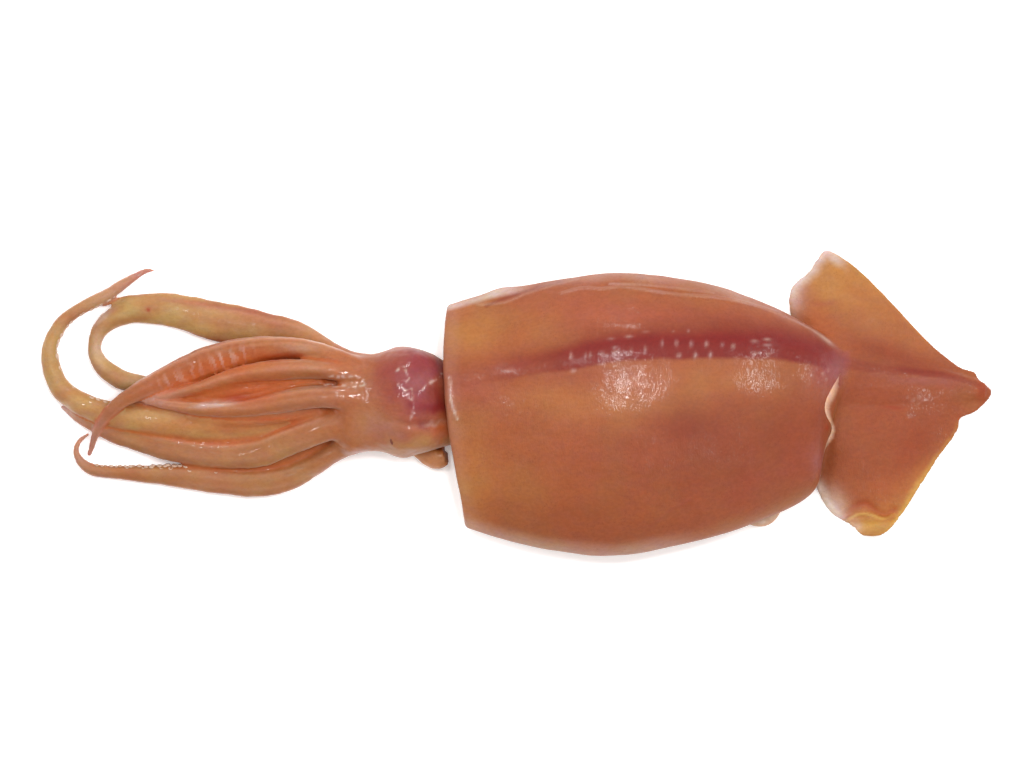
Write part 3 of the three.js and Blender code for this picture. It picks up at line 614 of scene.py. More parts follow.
# The fins' edges. Pale front edges: strength, gaps from the edge, the span along X, and the spans along Y on
# the right and the left fin.
PALE_FRONT = (0.75, (4.5, 0.4), (150, 143), (36, 43), (-26, -32))
# Yellow edges: strength, gaps and span along X.
YELLOW_EDGE = (0.3, (1.4, 0.3), (184, 172))
# The left fin's yellow rear edge: spans along Y and X, where it is widest, gap and what that has more there,
# and strength and what that has more there.
YELLOW_REAR = ((-4, -9), (160, 166), (-8, -34), (1.4, 1.4), (0.35, 0.55))

# How golden and how rosy each arm is near the head and at its tip, and how much painted orange glow of shade
# it has.
ARM_TONES = {
    "upper_loop": {"gold": (0.3, 1.0), "blush": (0.1, 0.0), "orange_and_painted_glow": 0.0},
    "crossing": {"gold": (0.3, 0.2), "blush": (0.1, 0.4), "orange_and_painted_glow": 0.15},
    "top_right": {"gold": (0.2, 0.2), "blush": (0.15, 0.2), "orange_and_painted_glow": 0.1},
    "top_left": {"gold": (0.2, 0.2), "blush": (0.15, 0.2), "orange_and_painted_glow": 0.05},
    "broad_left": {"gold": (0.35, 0.4), "blush": (0.1, 0.2), "orange_and_painted_glow": 0.0},
    "outer_loop": {"gold": (0.5, 1.0), "blush": (0.1, 0.0), "orange_and_painted_glow": 0.1},
    "lowest": {"gold": (0.3, 0.35), "blush": (0.15, 0.2), "orange_and_painted_glow": 0.0},
    "under_middle": {"gold": (0.2, 0.2), "blush": (0.1, 0.1), "orange_and_painted_glow": 1.0},
    "under_left": {"gold": (0.2, 0.2), "blush": (0.1, 0.1), "orange_and_painted_glow": 0.9},
    "under_right": {"gold": (0.2, 0.2), "blush": (0.1, 0.1), "orange_and_painted_glow": 0.9},
}
# Share of an arm's length over which the one tone passes into the other.
TONE_SPAN = (0.1, 0.55)
# Raised ridges along the arms, painted pale as the sheen of light on their crests: turn in degrees, width in
# degrees, from and to as shares of the arm's length, and strength, and how softly they start and end.
ARM_RIDGES = {
    "upper_loop": [(128, 14, 0.12, 0.5, 0.5), (60, 12, 0.1, 0.3, 0.3)],
    "crossing": [(142, 10, 0.12, 0.75, 1.0), (112, 8, 0.2, 0.42, 0.5), (40, 12, 0.45, 0.95, 0.4)],
    "top_right": [(98, 20, 0.12, 0.8, 0.7), (135, 10, 0.3, 0.7, 0.3)],
    "top_left": [(128, 14, 0.12, 0.9, 0.9), (82, 16, 0.1, 0.85, 0.4)],
    "broad_left": [(132, 13, 0.12, 0.7, 0.9), (70, 16, 0.2, 0.8, 0.3)],
    "outer_loop": [(120, 14, 0.15, 0.4, 0.4), (60, 14, 0.5, 0.8, 0.2)],
    "lowest": [(60, 14, 0.15, 0.6, 0.4), (120, 12, 0.25, 0.8, 0.4)],
}
RIDGE_START = 0.05
RIDGE_END = 0.1

# Spans along X over which one part of the head and arms passes into the next.
CROWN_SPANS = ((-60, -38), (-4, -12))
VALLEY_SPAN = (-30, -37)
ARMS_SPAN = (-34, -44)
RIDGE_SPAN = (-34, -56)
RIDGE_COLOUR_SPAN = (-34, -50)
TONE_START_SPAN = (-34, -52)
HEAD_SPAN = (-40, -26)
# How near the next arm is, in its half widths, where the flesh between two arms fills their valley, where its
# painted glow starts, where its painted groove shade starts, and where an arm's open side gets painted light.
VALLEY_GAP = (1.55, 1.1)
GLOW_GAP = (2.1, 1.1)
GROOVE_SHADE_GAP = (1.2, 0.95)
PAINTED_SIDE_GAP = (1.3, 1.9)
# How steep the side of an arm is there, as the share of it that faces sideways, and as the rise of its skin.
GLOW_SIDE = (0.35, 0.9)
GROOVE_SHADE_SIDE = (0.6, 0.98)
PAINTED_SIDE_RISE = ((0.75, 0.15), (-0.5, -0.1))
# The ridge along the top of each arm where it leaves the crown: height, width in degrees and span along X.
ROOT_RIDGE = (0.5, 38, (-66, -52))
# The top of the crown: its middle and half its size, and the grain there with its height and seed.
CROWN_TOP = (-38, 5)
CROWN_TOP_SIZE = (8, 6)
CROWN_GRAIN = (1.6, 0.1, 2.7)
# The hollow face of the crossing arm, as shares of its length, turn and width in degrees, and depth.
FACE_SPANS = ((0.24, 0.34), (0.8, 0.65))
FACE_TURN = 80
FACE_WIDTH = 32
FACE_DEPTH = 0.6
# The folds across that face: where they start and end, how far apart they are as a share of the arm's length,
# how much they waver with the size and seed of that, how full they are, and their height.
FACE_FOLD_SPANS = ((0.34, 0.4), (0.72, 0.62))
FACE_FOLD_PITCH = 0.033
FACE_FOLD_WAVER = 3
FACE_FOLD_LUMPS = (5, 3.9)
FACE_FOLD_FULL = (0.1, 0.9)
FACE_FOLD_HEIGHT = 0.15
# The fold under the head's left cheek, a shallow arc: its lowest point, bend, depth and half width, and the
# middle and half length of the stretch where it shows.
CHEEK_FOLD = (-10, -8.5)
CHEEK_FOLD_BEND = 0.012
CHEEK_FOLD_DEPTH = 0.9
CHEEK_FOLD_WIDTH = 1.6
CHEEK_FOLD_STRETCH = (-8, 11)

# Rows of suckers: arm, from and to as shares of its length, turn round it in degrees from its left edge over
# its top to its right edge, spacing, radius as a share of the arm's width, and how deep they are sunk.
SUCKER_ROWS = [
    ("outer_loop", 0.66, 0.9, 166, 2.4, 0.17, 0.45),
    ("outer_loop", 0.5, 0.64, 168, 3.1, 0.12, 0.6),
    ("lowest", 0.54, 0.86, 160, 1.9, 0.14, 0.2),
    ("lowest", 0.5, 0.76, 138, 3.3, 0.1, 0.6),
    ("upper_loop", 0.62, 0.78, 180, 2.4, 0.12, 0.6),
]
SUCKER_LARGEST = 1.0
# How much the suckers differ: in size, in place along the row and in turn in degrees.
SUCKER_SIZE_RANGE = 0.8
SUCKER_PLACE_RANGE = 0.6
SUCKER_TURN_RANGE = 22
SUCKER_STEP = 0.25
# How far a sucker's middle stays over the table, as a share of its radius, and its lowest point.
SUCKER_LIFT = 0.75
SUCKER_LOWEST = 0.02
# A sucker's foot, swollen rim and shallow cup, from the foot up: distance from its middle and height, as
# shares of its radius.
SUCKER_PROFILE = [
    (0.5, -0.7), (0.7, -0.2), (0.95, 0.15), (1.0, 0.38), (0.88, 0.6), (0.66, 0.68), (0.4, 0.6), (0.15, 0.55),
]
# Each eye: the place from which it is sought, the direction in which the head lies, and how the eye faces.
EYES = [
    ((-20.3, -14.6, 60), (0, 0, -1), (0.1, -0.4, 0.9)),
    ((-18, 60, 8), (0, -1, 0), (0, 1, -0.1)),
]
EYE_SIZE = (1.3, 0.5, 0.35)

# ---- finishes ------------------------------------------------------------------------------------------

# Clouds in the colour of the flesh: size, how they are drawn out along the squid, detail and roughness, and
# the tints that they bring, each with the cloud's values from and to, the strength there and the tint.
FLESH_CLOUDS = [
    (6, 1.8, 5, 0.65, [(0.35, 0.7, 0.0, 0.2, (0.7, 0.56, 0.54))]),
    (4, 1.8, 4, 0.6, [(0.48, 0.75, 0.0, 0.25, (1.2, 1.18, 1.12))]),
    (1.1, 1.4, 3, 0.55, [(0.35, 0.65, 0.3, 0.0, (0.7, 0.66, 0.62))]),
    (2.8, 1.6, 4, 0.65, [
        (0.35, 0.65, 0.6, 0.0, (1.03, 0.97, 0.82)),
        (0.4, 0.7, 0.0, 0.5, (0.98, 0.95, 1.2)),
    ]),
    (20, 1, 3, 0.55, [
        (0.35, 0.65, 0.35, 0.0, (1.1, 0.88, 0.88)),
        (0.45, 0.7, 0.0, 0.45, (1.0, 1.12, 0.96)),
    ]),
]
# The dark specks: their spacing, the radius from which they fade, the size and values of the patches that
# they lie in, and their tint.
SPECK_SPACING = 0.9
SPECK_EDGE = (0.34, 0.12)
SPECK_PATCHES = (6, 0.42, 0.62)
SPECK_TINT = (0.62, 0.42, 0.4, 1)
# Bumps: depth of the soft swell, and size and depth of the pores.
SWELL_DEPTH = 0.11
PORE_SIZE = 0.5
PORE_DEPTH = 0.02
# Roughness of the flesh where it is dry and where it is wet, and of the water over it.
FLESH_ROUGHNESS = (0.5, 0.4)
WATER_ROUGHNESS = 0.055
WATER_IOR = 1.38
FLESH_RADIUS = (1.0, 0.32, 0.16)

# ---- table, light and camera ---------------------------------------------------------------------------

TABLE_SIZE = 12
TABLE_ROUGHNESS = 0.9
# How much light comes up through the table itself.
TABLE_GLOW = 0.22
CAMERA_CENTRE = (-1.035, 6.931, 10)
CAMERA_WIDTH = 377.86
CAMERA_LENS = 300
CAMERA_SENSOR = 36
CAMERA_REACH = 20
# The lamps round the squid: place, the point on the table that they face, width, length and brightness.
LAMPS = [
    ((58, 72, 600), (58, 0), 60, 95, 68),
    ((400, 130, 600), (90, 0), 60, 150, 38),
    ((-140, 120, 600), (-140, 0), 45, 200, 33),
    ((-360, 80, 600), (-60, 0), 50, 100, 38),
    ((0, 940, 600), (20, 20), 120, 120, 38),
    ((950, 370, 600), (100, 0), 120, 120, 38),
    ((264, -250, 600), (150, 0), 45, 160, 36),
]
# Brightness of the room round the sides and right overhead, where the one passes into the other as the height
# of the direction, how much brighter the squid's right side is, and the room's colour.
ROOM_LIGHT = 0.98
CEILING_LIGHT = 0.44
CEILING_SPAN = (0.75, 0.97)
SIDE_LIGHT = 0.3
ROOM_COLOUR = (1.0, 0.99, 0.98, 1)


# ---- settings ------------------------------------------------------------------------------------------

def length(name, description, size):
    """A length setting whose default is given in millimetres."""
    return bpy.props.FloatProperty(
        name=name, description=description, default=size * MM, unit="LENGTH", precision=5, min=0
    )


def colour(name, description, red, green, blue):
    """A colour setting whose default is given as it shows on a screen, from 0 to 255."""
    shown = np.array([red, green, blue]) / 255
    linear = np.where(shown <= 0.04045, shown / 12.92, ((shown + 0.055) / 1.055) ** 2.4)
    return bpy.props.FloatVectorProperty(
        name=name, description=description, default=tuple(linear), subtype="COLOR", size=3, min=0, max=1
    )


class SquidSizes(bpy.types.PropertyGroup):
    """Sizes of the squid's skin."""

    tail_reach: length("Tail reach", "From the middle of the collar to the tip of the tail", 200)
    fin_reach: length("Fin reach", "From the collar's middle line to the right fin's corner", 56.18)
    body_grain: length("Body grain", "Size of the faces on the mantle and the fins", 0.8)
    arm_grain: length("Arm grain", "Size of the faces on the head and the arms", 0.55)
    wall: length("Wall", "Thickness of the mantle at its open collar", 4)
    collar_round: length("Collar round", "How far the collar's edge stands out in its middle", 1.1)
    keel_height: length("Keel height", "How far the keel stands up along the back", 1.4)
    fin_thickness: length("Fin thickness", "Thickness of the fins in their middle", 4)
    rim_thickness: length("Rim thickness", "Thickness of the fins at their edges", 1.6)
    lump_height: length("Lump height", "Height of the soft unevenness of the skin", 0.3)
    fold_height: length("Fold height", "Height of the fold along the mantle's right side", 0.55)
    ridge_height: length("Ridge height", "Height of the pale ridges along the arms", 0.35)


class SquidColours(bpy.types.PropertyGroup):
    """Colours of the squid's flesh."""

    flesh: colour("Flesh", "Tan skin of the mantle", 138, 76, 43)
    # Gold also paints light that lifts the shade off the mantle's left edge and off the neck under the
    # collar.
    gold: colour("Gold", "Yellow skin at the collar and on the fins", 158, 104, 54)
    # Blush also paints the shadow beside the notch of the rolled skin.
    blush: colour("Blush", "Redder skin", 118, 52, 31)
    rose: colour("Rose", "Pinker skin", 141, 72, 54)
    # Stripe also paints the shade where the head runs in under the collar.
    stripe: colour("Stripe", "Dark stripe down the back", 106, 13, 14)
    purple: colour("Purple", "Purple skin on the head and where mantle and tail meet", 124, 44, 52)
    # Film is also the colour of painted highlights on the wet skin, and of painted light on the arms' open
    # sides, the mantle's left edge and the neck.
    film: colour("Film", "Thin pale skin at the edges", 188, 171, 163)
    lip: colour("Lip", "Skin rolled back at the mantle's rear end", 194, 158, 132)
    lining: colour("Lining", "Inside of the mantle", 214, 176, 150)
    arm: colour("Arm", "Tan skin of the arms", 148, 90, 54)
    arm_gold: colour("Arm gold", "Yellow skin of the long loops", 164, 134, 84)
    # The ridges' pale colour also paints the sheen of light on their crests and the light on the arms' open
    # sides.
    ridge: colour("Ridge", "Pale ridges along the arms", 176, 130, 104)
    cream: colour("Cream", "Yellow edge of the left fin", 172, 134, 66)
    lilac: colour("Lilac", "Bluish skin where the mantle meets the tail", 132, 82, 84)
    funnel: colour("Funnel", "Brown skin of the funnel", 172, 112, 56)
    # Painted shade in the grooves, creases and notches, and the skin's own dark specks.
    painted_shade_and_speck: colour("Groove", "Dark grooves between the arms", 140, 46, 16)
    sucker: colour("Sucker", "Suckers", 186, 158, 138)
    # Orange skin, and the painted glow of shade deep between the arms; near the neck it is painted light.
    orange_and_painted_glow: colour("Ember", "Glowing orange skin deep between the arms", 164, 80, 32)
    eye: colour("Eye", "The dull eye in its slit", 104, 52, 34)
    table: colour("Table", "The table that the squid lies on", 254, 254, 254)


def millimetres(name):
    """One of the squid's sizes in millimetres."""
    return getattr(bpy.context.scene.squid_sizes, name) / MM


def paint(name):
    """One of the squid's colours as a shader takes it."""
    return (*getattr(bpy.context.scene.squid_colours, name), 1.0)


# ---- drawing helpers -----------------------------------------------------------------------------------

# Steps between two rows of a table when a smooth line is measured.
FINE_STEPS = 40
# Even points a step apart along the lines of markings, and along limbs and other tables.
LINE_STEP = 0.5
ROW_STEP = 1.0
# Passes that take the voxels' steps off a skin, and the two pulls of each pass, first in and then out again.
STEP_PASSES = 3
EVEN_OUT = (0.5, -0.52)
# The pull that fills hollows and wears down ridges.
WEAR_DOWN = (0.5,)


def smooth(low, high, value):
    """A soft step from 0 at low to 1 at high, which falls where low is the greater."""
    share = np.clip((value - low) / (high - low), 0, 1)
    return share * share * (3 - 2 * share)


def within(spans, value):
    """The product of soft steps, one for each span."""
    share = 1.0
    for low, high in spans:
        share = share * smooth(low, high, value)
    return share


def bell(value, width):
    """1 where the value is 0, and less and less on both sides."""
    return np.exp(-((value / width) ** 2))


def blend(rows, at, closed=False):
    """Smooth values between the rows of a table, by row number."""
    rows = np.asarray(rows, float)
    last = len(rows) - 1
    at = np.asarray(at, float)
    low = np.floor(at).astype(int)
    if not closed:
        low = np.clip(low, 0, last - 1)
    share = (at - low)[..., None]

    def row(number):
        return rows[number % len(rows) if closed else np.clip(number, 0, last)]

    before, here, after, beyond = row(low - 1), row(low), row(low + 1), row(low + 2)
    return 0.5 * (
        2 * here
        + (after - before) * share
        + (2 * before - 5 * here + 4 * after - beyond) * share**2
        + (3 * here - before - 3 * after + beyond) * share**3
    )


def evenly(rows, step, closed=False):
    """Points a step apart along the smooth line through a table's rows, with every column blended. The line
    is measured over three columns, or over two in a table that has fewer than four."""
    rows = np.asarray(rows, float)
    spans = len(rows) if closed else len(rows) - 1
    fine = blend(rows, np.linspace(0, spans, spans * FINE_STEPS + 1), closed)
    space = 2 if rows.shape[1] < 4 else 3
    run = np.concatenate([[0], np.cumsum(np.linalg.norm(np.diff(fine[:, :space], axis=0), axis=1))])
    count = max(int(round(run[-1] / step)), 2)
    stops = np.linspace(0, run[-1], count + 1)
    if closed:
        stops = stops[:-1]
    return np.stack([np.interp(stops, run, column) for column in fine.T], axis=1)


def lumps(points, size, seed=0.0):
    """Soft noise from about -1 to 1 at each point, with lumps of that size."""
    places = np.asarray(points, float) / size + seed
    return np.array([noise.noise((x, y, z)) for x, y, z in places])


def lumpy(points, table):
    """Several sizes of lumps together, from rows of size, height and seed."""
    return sum(height * lumps(points, size, seed) for size, height, seed in table)


def nearest(points, line, chunk=20000):
    """For each point, the number of the nearest point of a line and how far off it is. The chunk is how many
    points are measured at once."""
    numbers = np.empty(len(points), int)
    gaps = np.empty(len(points))
    for start in range(0, len(points), chunk):
        part = points[start:start + chunk]
        squared = ((part[:, None, :] - line[None, :, :]) ** 2).sum(2)
        best = squared.argmin(1)
        numbers[start:start + chunk] = best
        gaps[start:start + chunk] = np.sqrt(squared[np.arange(len(part)), best])
    return numbers, gaps


def ring_turns(sides):
    """Even turns round a ring, in radians."""
    return np.linspace(0, 2 * math.pi, sides, endpoint=False)


def rings_of(x, y, z):
    """Rings of points from their coordinates, which may each be given once for a whole ring."""
    return np.stack(np.broadcast_arrays(x, y, z), axis=2)


def tube(rings):
    """A closed shell from rings of points: its points and faces, with a fan over each end."""
    count, sides, _ = rings.shape
    points = np.concatenate([rings.reshape(-1, 3), rings[:1].mean(1), rings[-1:].mean(1)])
    faces = []
    for ring in range(count - 1):
        for side in range(sides):
            here, after = ring * sides + side, ring * sides + (side + 1) % sides
            faces.append((here, after, after + sides, here + sides))
    first, last = count * sides, count * sides + 1
    for side in range(sides):
        after = (side + 1) % sides
        faces.append((first, after, side))
        faces.append((last, (count - 1) * sides + side, (count - 1) * sides + after))
    return points, faces


def directions(path):
    """The directions along, sideways from and upward from a path of points."""
    along = np.gradient(path[:, :3], axis=0)
    along /= np.linalg.norm(along, axis=1)[:, None]
    side = np.stack([-along[:, 1], along[:, 0], np.zeros(len(along))], axis=1)
    side /= np.linalg.norm(side, axis=1)[:, None]
    return along, side, np.cross(along, side)


def limb(rows, sides, step, depth_share, deepest=math.inf, section=None):
    """A tapering limb along a table's rows, flat where it meets the table."""
    path = evenly(rows, step)
    _, side, up = directions(path)
    turn = ring_turns(sides)
    width = np.maximum(path[:, 3], LIMB_LEAST)[:, None]
    depth = np.minimum(width * depth_share, deepest)
    swell = 1.0 if section is None else section(turn)[None, :]
    out = (width / 2 * swell * np.cos(turn))[..., None] * side[:, None, :]
    rise = (depth / 2 * swell * np.sin(turn))[..., None] * up[:, None, :]
    rings = path[:, None, :3] + out + rise
    rings[..., 2] = np.maximum(rings[..., 2], 0)
    return tube(rings)


def ball(centre, size, sides=40):
    """A closed egg shape about its centre, with half its length on each axis."""
    lift = np.linspace(-math.pi / 2, math.pi / 2, sides // 2 + 1)[1:-1, None]
    turn = ring_turns(sides)[None, :]
    unit = rings_of(np.cos(lift) * np.cos(turn), np.cos(lift) * np.sin(turn), np.sin(lift))
    return tube(np.array(centre) + unit * np.array(size))


def turned_to(points, facing, up):
    """Points drawn facing +Z, turned to face another way."""
    return points @ np.array(Vector(facing).to_track_quat("Z", up).to_matrix()).T


def collar_place():
    """Where the middle of the collar's dorsal edge lies in the frame, in metres."""
    sizes = bpy.context.scene.squid_sizes
    return np.array([cad_high.x - sizes.tail_reach, cad_high.y - sizes.fin_reach, 0])


def new_object(name, points, faces):
    """A mesh object in the frame from points in millimetres."""
    mesh = bpy.data.meshes.new(name)
    mesh.from_pydata((np.asarray(points) * MM + collar_place()).tolist(), [], faces)
    mesh.validate()
    mesh.update()
    made = bpy.data.objects.new(name, mesh)
    bpy.context.scene.collection.objects.link(made)
    return made


def joined(shells):
    """Several shells as one list of points and one of faces."""
    points, faces, start = [], [], 0
    for shell_points, shell_faces in shells:
        points.append(shell_points)
        faces += [tuple(corner + start for corner in face) for face in shell_faces]
        start += len(shell_points)
    return np.concatenate(points), faces


def fused(name, shells, grain):
    """One closed skin round all the shells, with even four-sided faces of about the grain's size."""
    rough = new_object(name, *joined(shells))
    remesh = rough.modifiers.new("skin", "REMESH")
    remesh.mode = "VOXEL"
    remesh.voxel_size = grain * MM
    skin = bpy.data.meshes.new_from_object(rough.evaluated_get(bpy.context.evaluated_depsgraph_get()))
    rough.modifiers.clear()
    rough.data = skin
    return rough


def points_of(mesh):
    """A mesh's points in millimetres."""
    flat = np.empty(len(mesh.vertices) * 3, np.float32)
    mesh.vertices.foreach_get("co", flat)
    return (flat.reshape(-1, 3).astype(float) - collar_place()) / MM


def set_points(mesh, points):
    """Moves a mesh's points to places in millimetres."""
    mesh.vertices.foreach_set("co", (points * MM + collar_place()).astype(np.float32).ravel())
    mesh.update()


def normals_of(mesh):
    """The direction in which the skin faces at each of a mesh's points."""
    flat = np.empty(len(mesh.vertices) * 3, np.float32)
    mesh.vertex_normals.foreach_get("vector", flat)
    return flat.reshape(-1, 3).astype(float)


def smoothed(points, mesh, passes, weight, pulls):
    """The points after passes of smoothing. Each pull of a pass draws every point that share of the way to
    the middle of its neighbours, times its weight, or away from it where the pull is below 0."""
    edges = np.empty(len(mesh.edges) * 2, np.int32)
    mesh.edges.foreach_get("vertices", edges)
    one, other = edges.reshape(-1, 2).T
    count = np.bincount(edges, minlength=len(points))
    weight = np.broadcast_to(weight, len(points))[:, None]
    for _ in range(passes):
        for pull in pulls:
            mean = np.stack([
                np.bincount(one, points[other, axis], len(points))
                + np.bincount(other, points[one, axis], len(points))
                for axis in range(3)
            ], axis=1) / count[:, None]
            points = points + weight * pull * (mean - points)
    return points


def first_hit(piece, start, direction):
    """Where a line from a place, in that direction, first meets a piece, in millimetres."""
    origin = Vector(np.array(start) * MM + collar_place())
    found, place, _, _ = piece.ray_cast(origin, direction)
    if not found:
        raise RuntimeError(f"nothing of {piece.name} lies beyond {start}")
    return (np.array(place) - collar_place()) / MM


def mark(mesh, masks):
    """Stores each mask on the mesh's points under its name."""
    for name, values in masks.items():
        layer = mesh.attributes.new(name, "FLOAT", "POINT")
        layer.data.foreach_set("value", np.clip(values, 0, 1).astype(np.float32))


def spots(points, x, y, long, wide, turn=0):
    """1 in the middle of a soft oval spot with those half sizes, less and less towards its edge."""
    angle = math.radians(turn)
    dx, dy = points[:, 0] - x, points[:, 1] - y
    along = dx * math.cos(angle) + dy * math.sin(angle)
    across = dy * math.cos(angle) - dx * math.sin(angle)
    return np.exp(-((along / long) ** 2 + (across / wide) ** 2))


def add_blots(points, table, masks):
    """Adds a table's soft blots of colour to the masks."""
    for name, rows in table.items():
        for x, y, long, wide, turn, strength in rows:
            masks[name] = masks[name] + strength * spots(points, x, y, long, wide, turn)


def wander(points, size, reach):
    """The points moved about softly, so that the edges of markings wander."""
    moved = points.copy()
    for axis in range(2):
        moved[:, axis] += reach * lumps(points, size, seed=7.3 + 11 * axis)
    return moved


def finish_piece(piece, material):
    """Sets a piece's material, smooth shading and place in the frame's table."""
    piece.data.materials.append(material)
    piece.data.polygons.foreach_set("use_smooth", [True] * len(piece.data.polygons))
    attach(piece, BODY)
    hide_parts(NODE)


# ---- materials -----------------------------------------------------------------------------------------

def node(tree, kind, inputs=(), **settings):
    """A new node with its settings, whose inputs take either a value or another node's output."""
    made = tree.nodes.new(kind)
    for name, value in settings.items():
        setattr(made, name, value)
    for socket, value in dict(inputs).items():
        if isinstance(value, bpy.types.NodeSocket):
            tree.links.new(value, made.inputs[socket])
        else:
            made.inputs[socket].default_value = value
    return made


def empty_material(name):
    """A new material and its empty tree."""
    material = bpy.data.materials.new(name)
    material.use_nodes = True
    material.node_tree.nodes.clear()
    return material, material.node_tree


def surface(tree, inputs):
    """Gives a material its shader."""
    shader = node(tree, "ShaderNodeBsdfPrincipled", inputs)
    node(tree, "ShaderNodeOutputMaterial", {"Surface": shader.outputs[0]})


def mixed(tree, share, under, over, how="MIX"):
    """The output of a colour mix."""
    inputs = {0: share, 6: under, 7: over}
    return node(tree, "ShaderNodeMix", inputs, data_type="RGBA", blend_type=how).outputs[2]


def times(tree, value, factor):
    """The output of a multiplication."""
    return node(tree, "ShaderNodeMath", {0: value, 1: factor}, operation="MULTIPLY").outputs[0]


def mask(tree, name):
    """A mask that is stored on the mesh's points."""
    return node(tree, "ShaderNodeAttribute", attribute_name=name).outputs["Fac"]


def cloud(tree, place, size, stretch=(1, 1, 1), detail=3.0, roughness=0.55):
    """Noise with clouds of that size in millimetres, drawn out by the stretch along each axis."""
    squeeze = [1 / share for share in stretch]
    mapped = node(tree, "ShaderNodeMapping", {"Vector": place, "Scale": squeeze}).outputs[0]
    inputs = {"Vector": mapped, "Scale": 1 / (size * MM), "Detail": detail, "Roughness": roughness}
    return node(tree, "ShaderNodeTexNoise", inputs).outputs["Fac"]


def between(tree, value, low, high, out_low=0.0, out_high=1.0):
    """A soft step from one output at low to another at high."""
    inputs = {"Value": value, "From Min": low, "From Max": high, "To Min": out_low, "To Max": out_high}
    return node(tree, "ShaderNodeMapRange", inputs, interpolation_type="SMOOTHSTEP").outputs[0]


def bumped(tree, height, depth, strength=1.0, under=None):
    """A bump of that depth in millimetres, over another if one is given."""
    inputs = {"Height": height, "Strength": strength, "Distance": depth * MM}
    if under is not None:
        inputs["Normal"] = under
    return node(tree, "ShaderNodeBump", inputs).outputs[0]


def flesh_colour(tree, place, base, layers, speckle):
    """The flesh's base colour under its layers, with its clouds and its dark specks."""
    shade = paint(base)
    for mask_name, (colour_name, strength) in layers.items():
        shade = mixed(tree, times(tree, mask(tree, mask_name), strength), shade, paint(colour_name))
    for size, stretch, detail, roughness, tints in FLESH_CLOUDS:
        clouds = cloud(tree, place, size, (stretch, 1, 1), detail, roughness)
        for low, high, at_low, at_high, tint in tints:
            share = between(tree, clouds, low, high, at_low, at_high)
            shade = mixed(tree, share, shade, (*tint, 1), "MULTIPLY")
    inputs = {"Vector": place, "Scale": 1 / (SPECK_SPACING * MM), "Randomness": 1.0}
    cells = node(tree, "ShaderNodeTexVoronoi", inputs)
    speck = between(tree, cells.outputs["Distance"], *SPECK_EDGE)
    size, low, high = SPECK_PATCHES
    patchy = between(tree, cloud(tree, place, size), low, high, 0.0, speckle)
    return mixed(tree, times(tree, speck, patchy), shade, SPECK_TINT, "MULTIPLY")


def wet_flesh(name, base, layers, wrinkle, speckle=0.35, see_through=0.16, depth=2.2):
    """Wet skin over soft flesh. Each layer is a mask's name with its colour's name and how far it shows. The
    wrinkle is the fine wrinkles' size, their depth and how they are drawn out along each axis."""
    material, tree = empty_material(name)
    place = node(tree, "ShaderNodeTexCoord").outputs["Object"]
    wet = mask(tree, "wet")

    size, ripple, stretch = wrinkle
    fine = cloud(tree, place, size, stretch, detail=2, roughness=0.5)
    soft = cloud(tree, place, size * 4, stretch, detail=1, roughness=0.4)
    swell = bumped(tree, soft, SWELL_DEPTH)
    creased = bumped(tree, fine, ripple, between(tree, wet, 0.0, 0.8, 0.6, 1.0), swell)
    skin = bumped(tree, cloud(tree, place, PORE_SIZE, detail=1), PORE_DEPTH, under=creased)

    # The water over the skin is thin where it is dry, and broken up everywhere.
    film = between(tree, wet, 0.0, 1.0, 0.03, 1.0)
    broken = between(tree, cloud(tree, place, size * 2.2, detail=2), 0.4, 0.55, 0.25, 1.0)

    surface(tree, {
        "Base Color": flesh_colour(tree, place, base, layers, speckle),
        "Roughness": between(tree, wet, 0.0, 1.0, *FLESH_ROUGHNESS),
        "Normal": skin,
        "Coat Normal": creased,
        "IOR": 1.38,
        "Specular IOR Level": 0.3,
        "Subsurface Weight": see_through,
        "Subsurface Radius": FLESH_RADIUS,
        "Subsurface Scale": depth * MM,
        "Coat Weight": times(tree, film, broken),
        "Coat Roughness": WATER_ROUGHNESS,
        "Coat IOR": WATER_IOR,
    })
    return material


def plain_wet(name, shade_name, roughness, coat):
    """A smaller piece's wet finish with a soft, uneven colour."""
    material, tree = empty_material(name)
    place = node(tree, "ShaderNodeTexCoord").outputs["Object"]
    uneven = between(tree, cloud(tree, place, 1.5), 0.3, 0.7, 0.0, 0.5)
    surface(tree, {
        "Base Color": mixed(tree, uneven, paint(shade_name), (0.84, 0.72, 0.66, 1), "MULTIPLY"),
        "Roughness": roughness,
        "Normal": bumped(tree, cloud(tree, place, 0.6), 0.1, 0.8),
        "IOR": 1.38,
        "Subsurface Weight": 0.2,
        "Subsurface Radius": (1.0, 0.5, 0.3),
        "Subsurface Scale": 1.2 * MM,
        "Coat Weight": coat,
        "Coat Roughness": 0.08,
        "Coat IOR": 1.34,
    })
    return material


# ---- mantle, tail and fins -----------------------------------------------------------------------------

RIGHT_EDGE = np.array([row[0:2] for row in MANTLE])
LEFT_EDGE = np.array([row[2:4] for row in MANTLE])


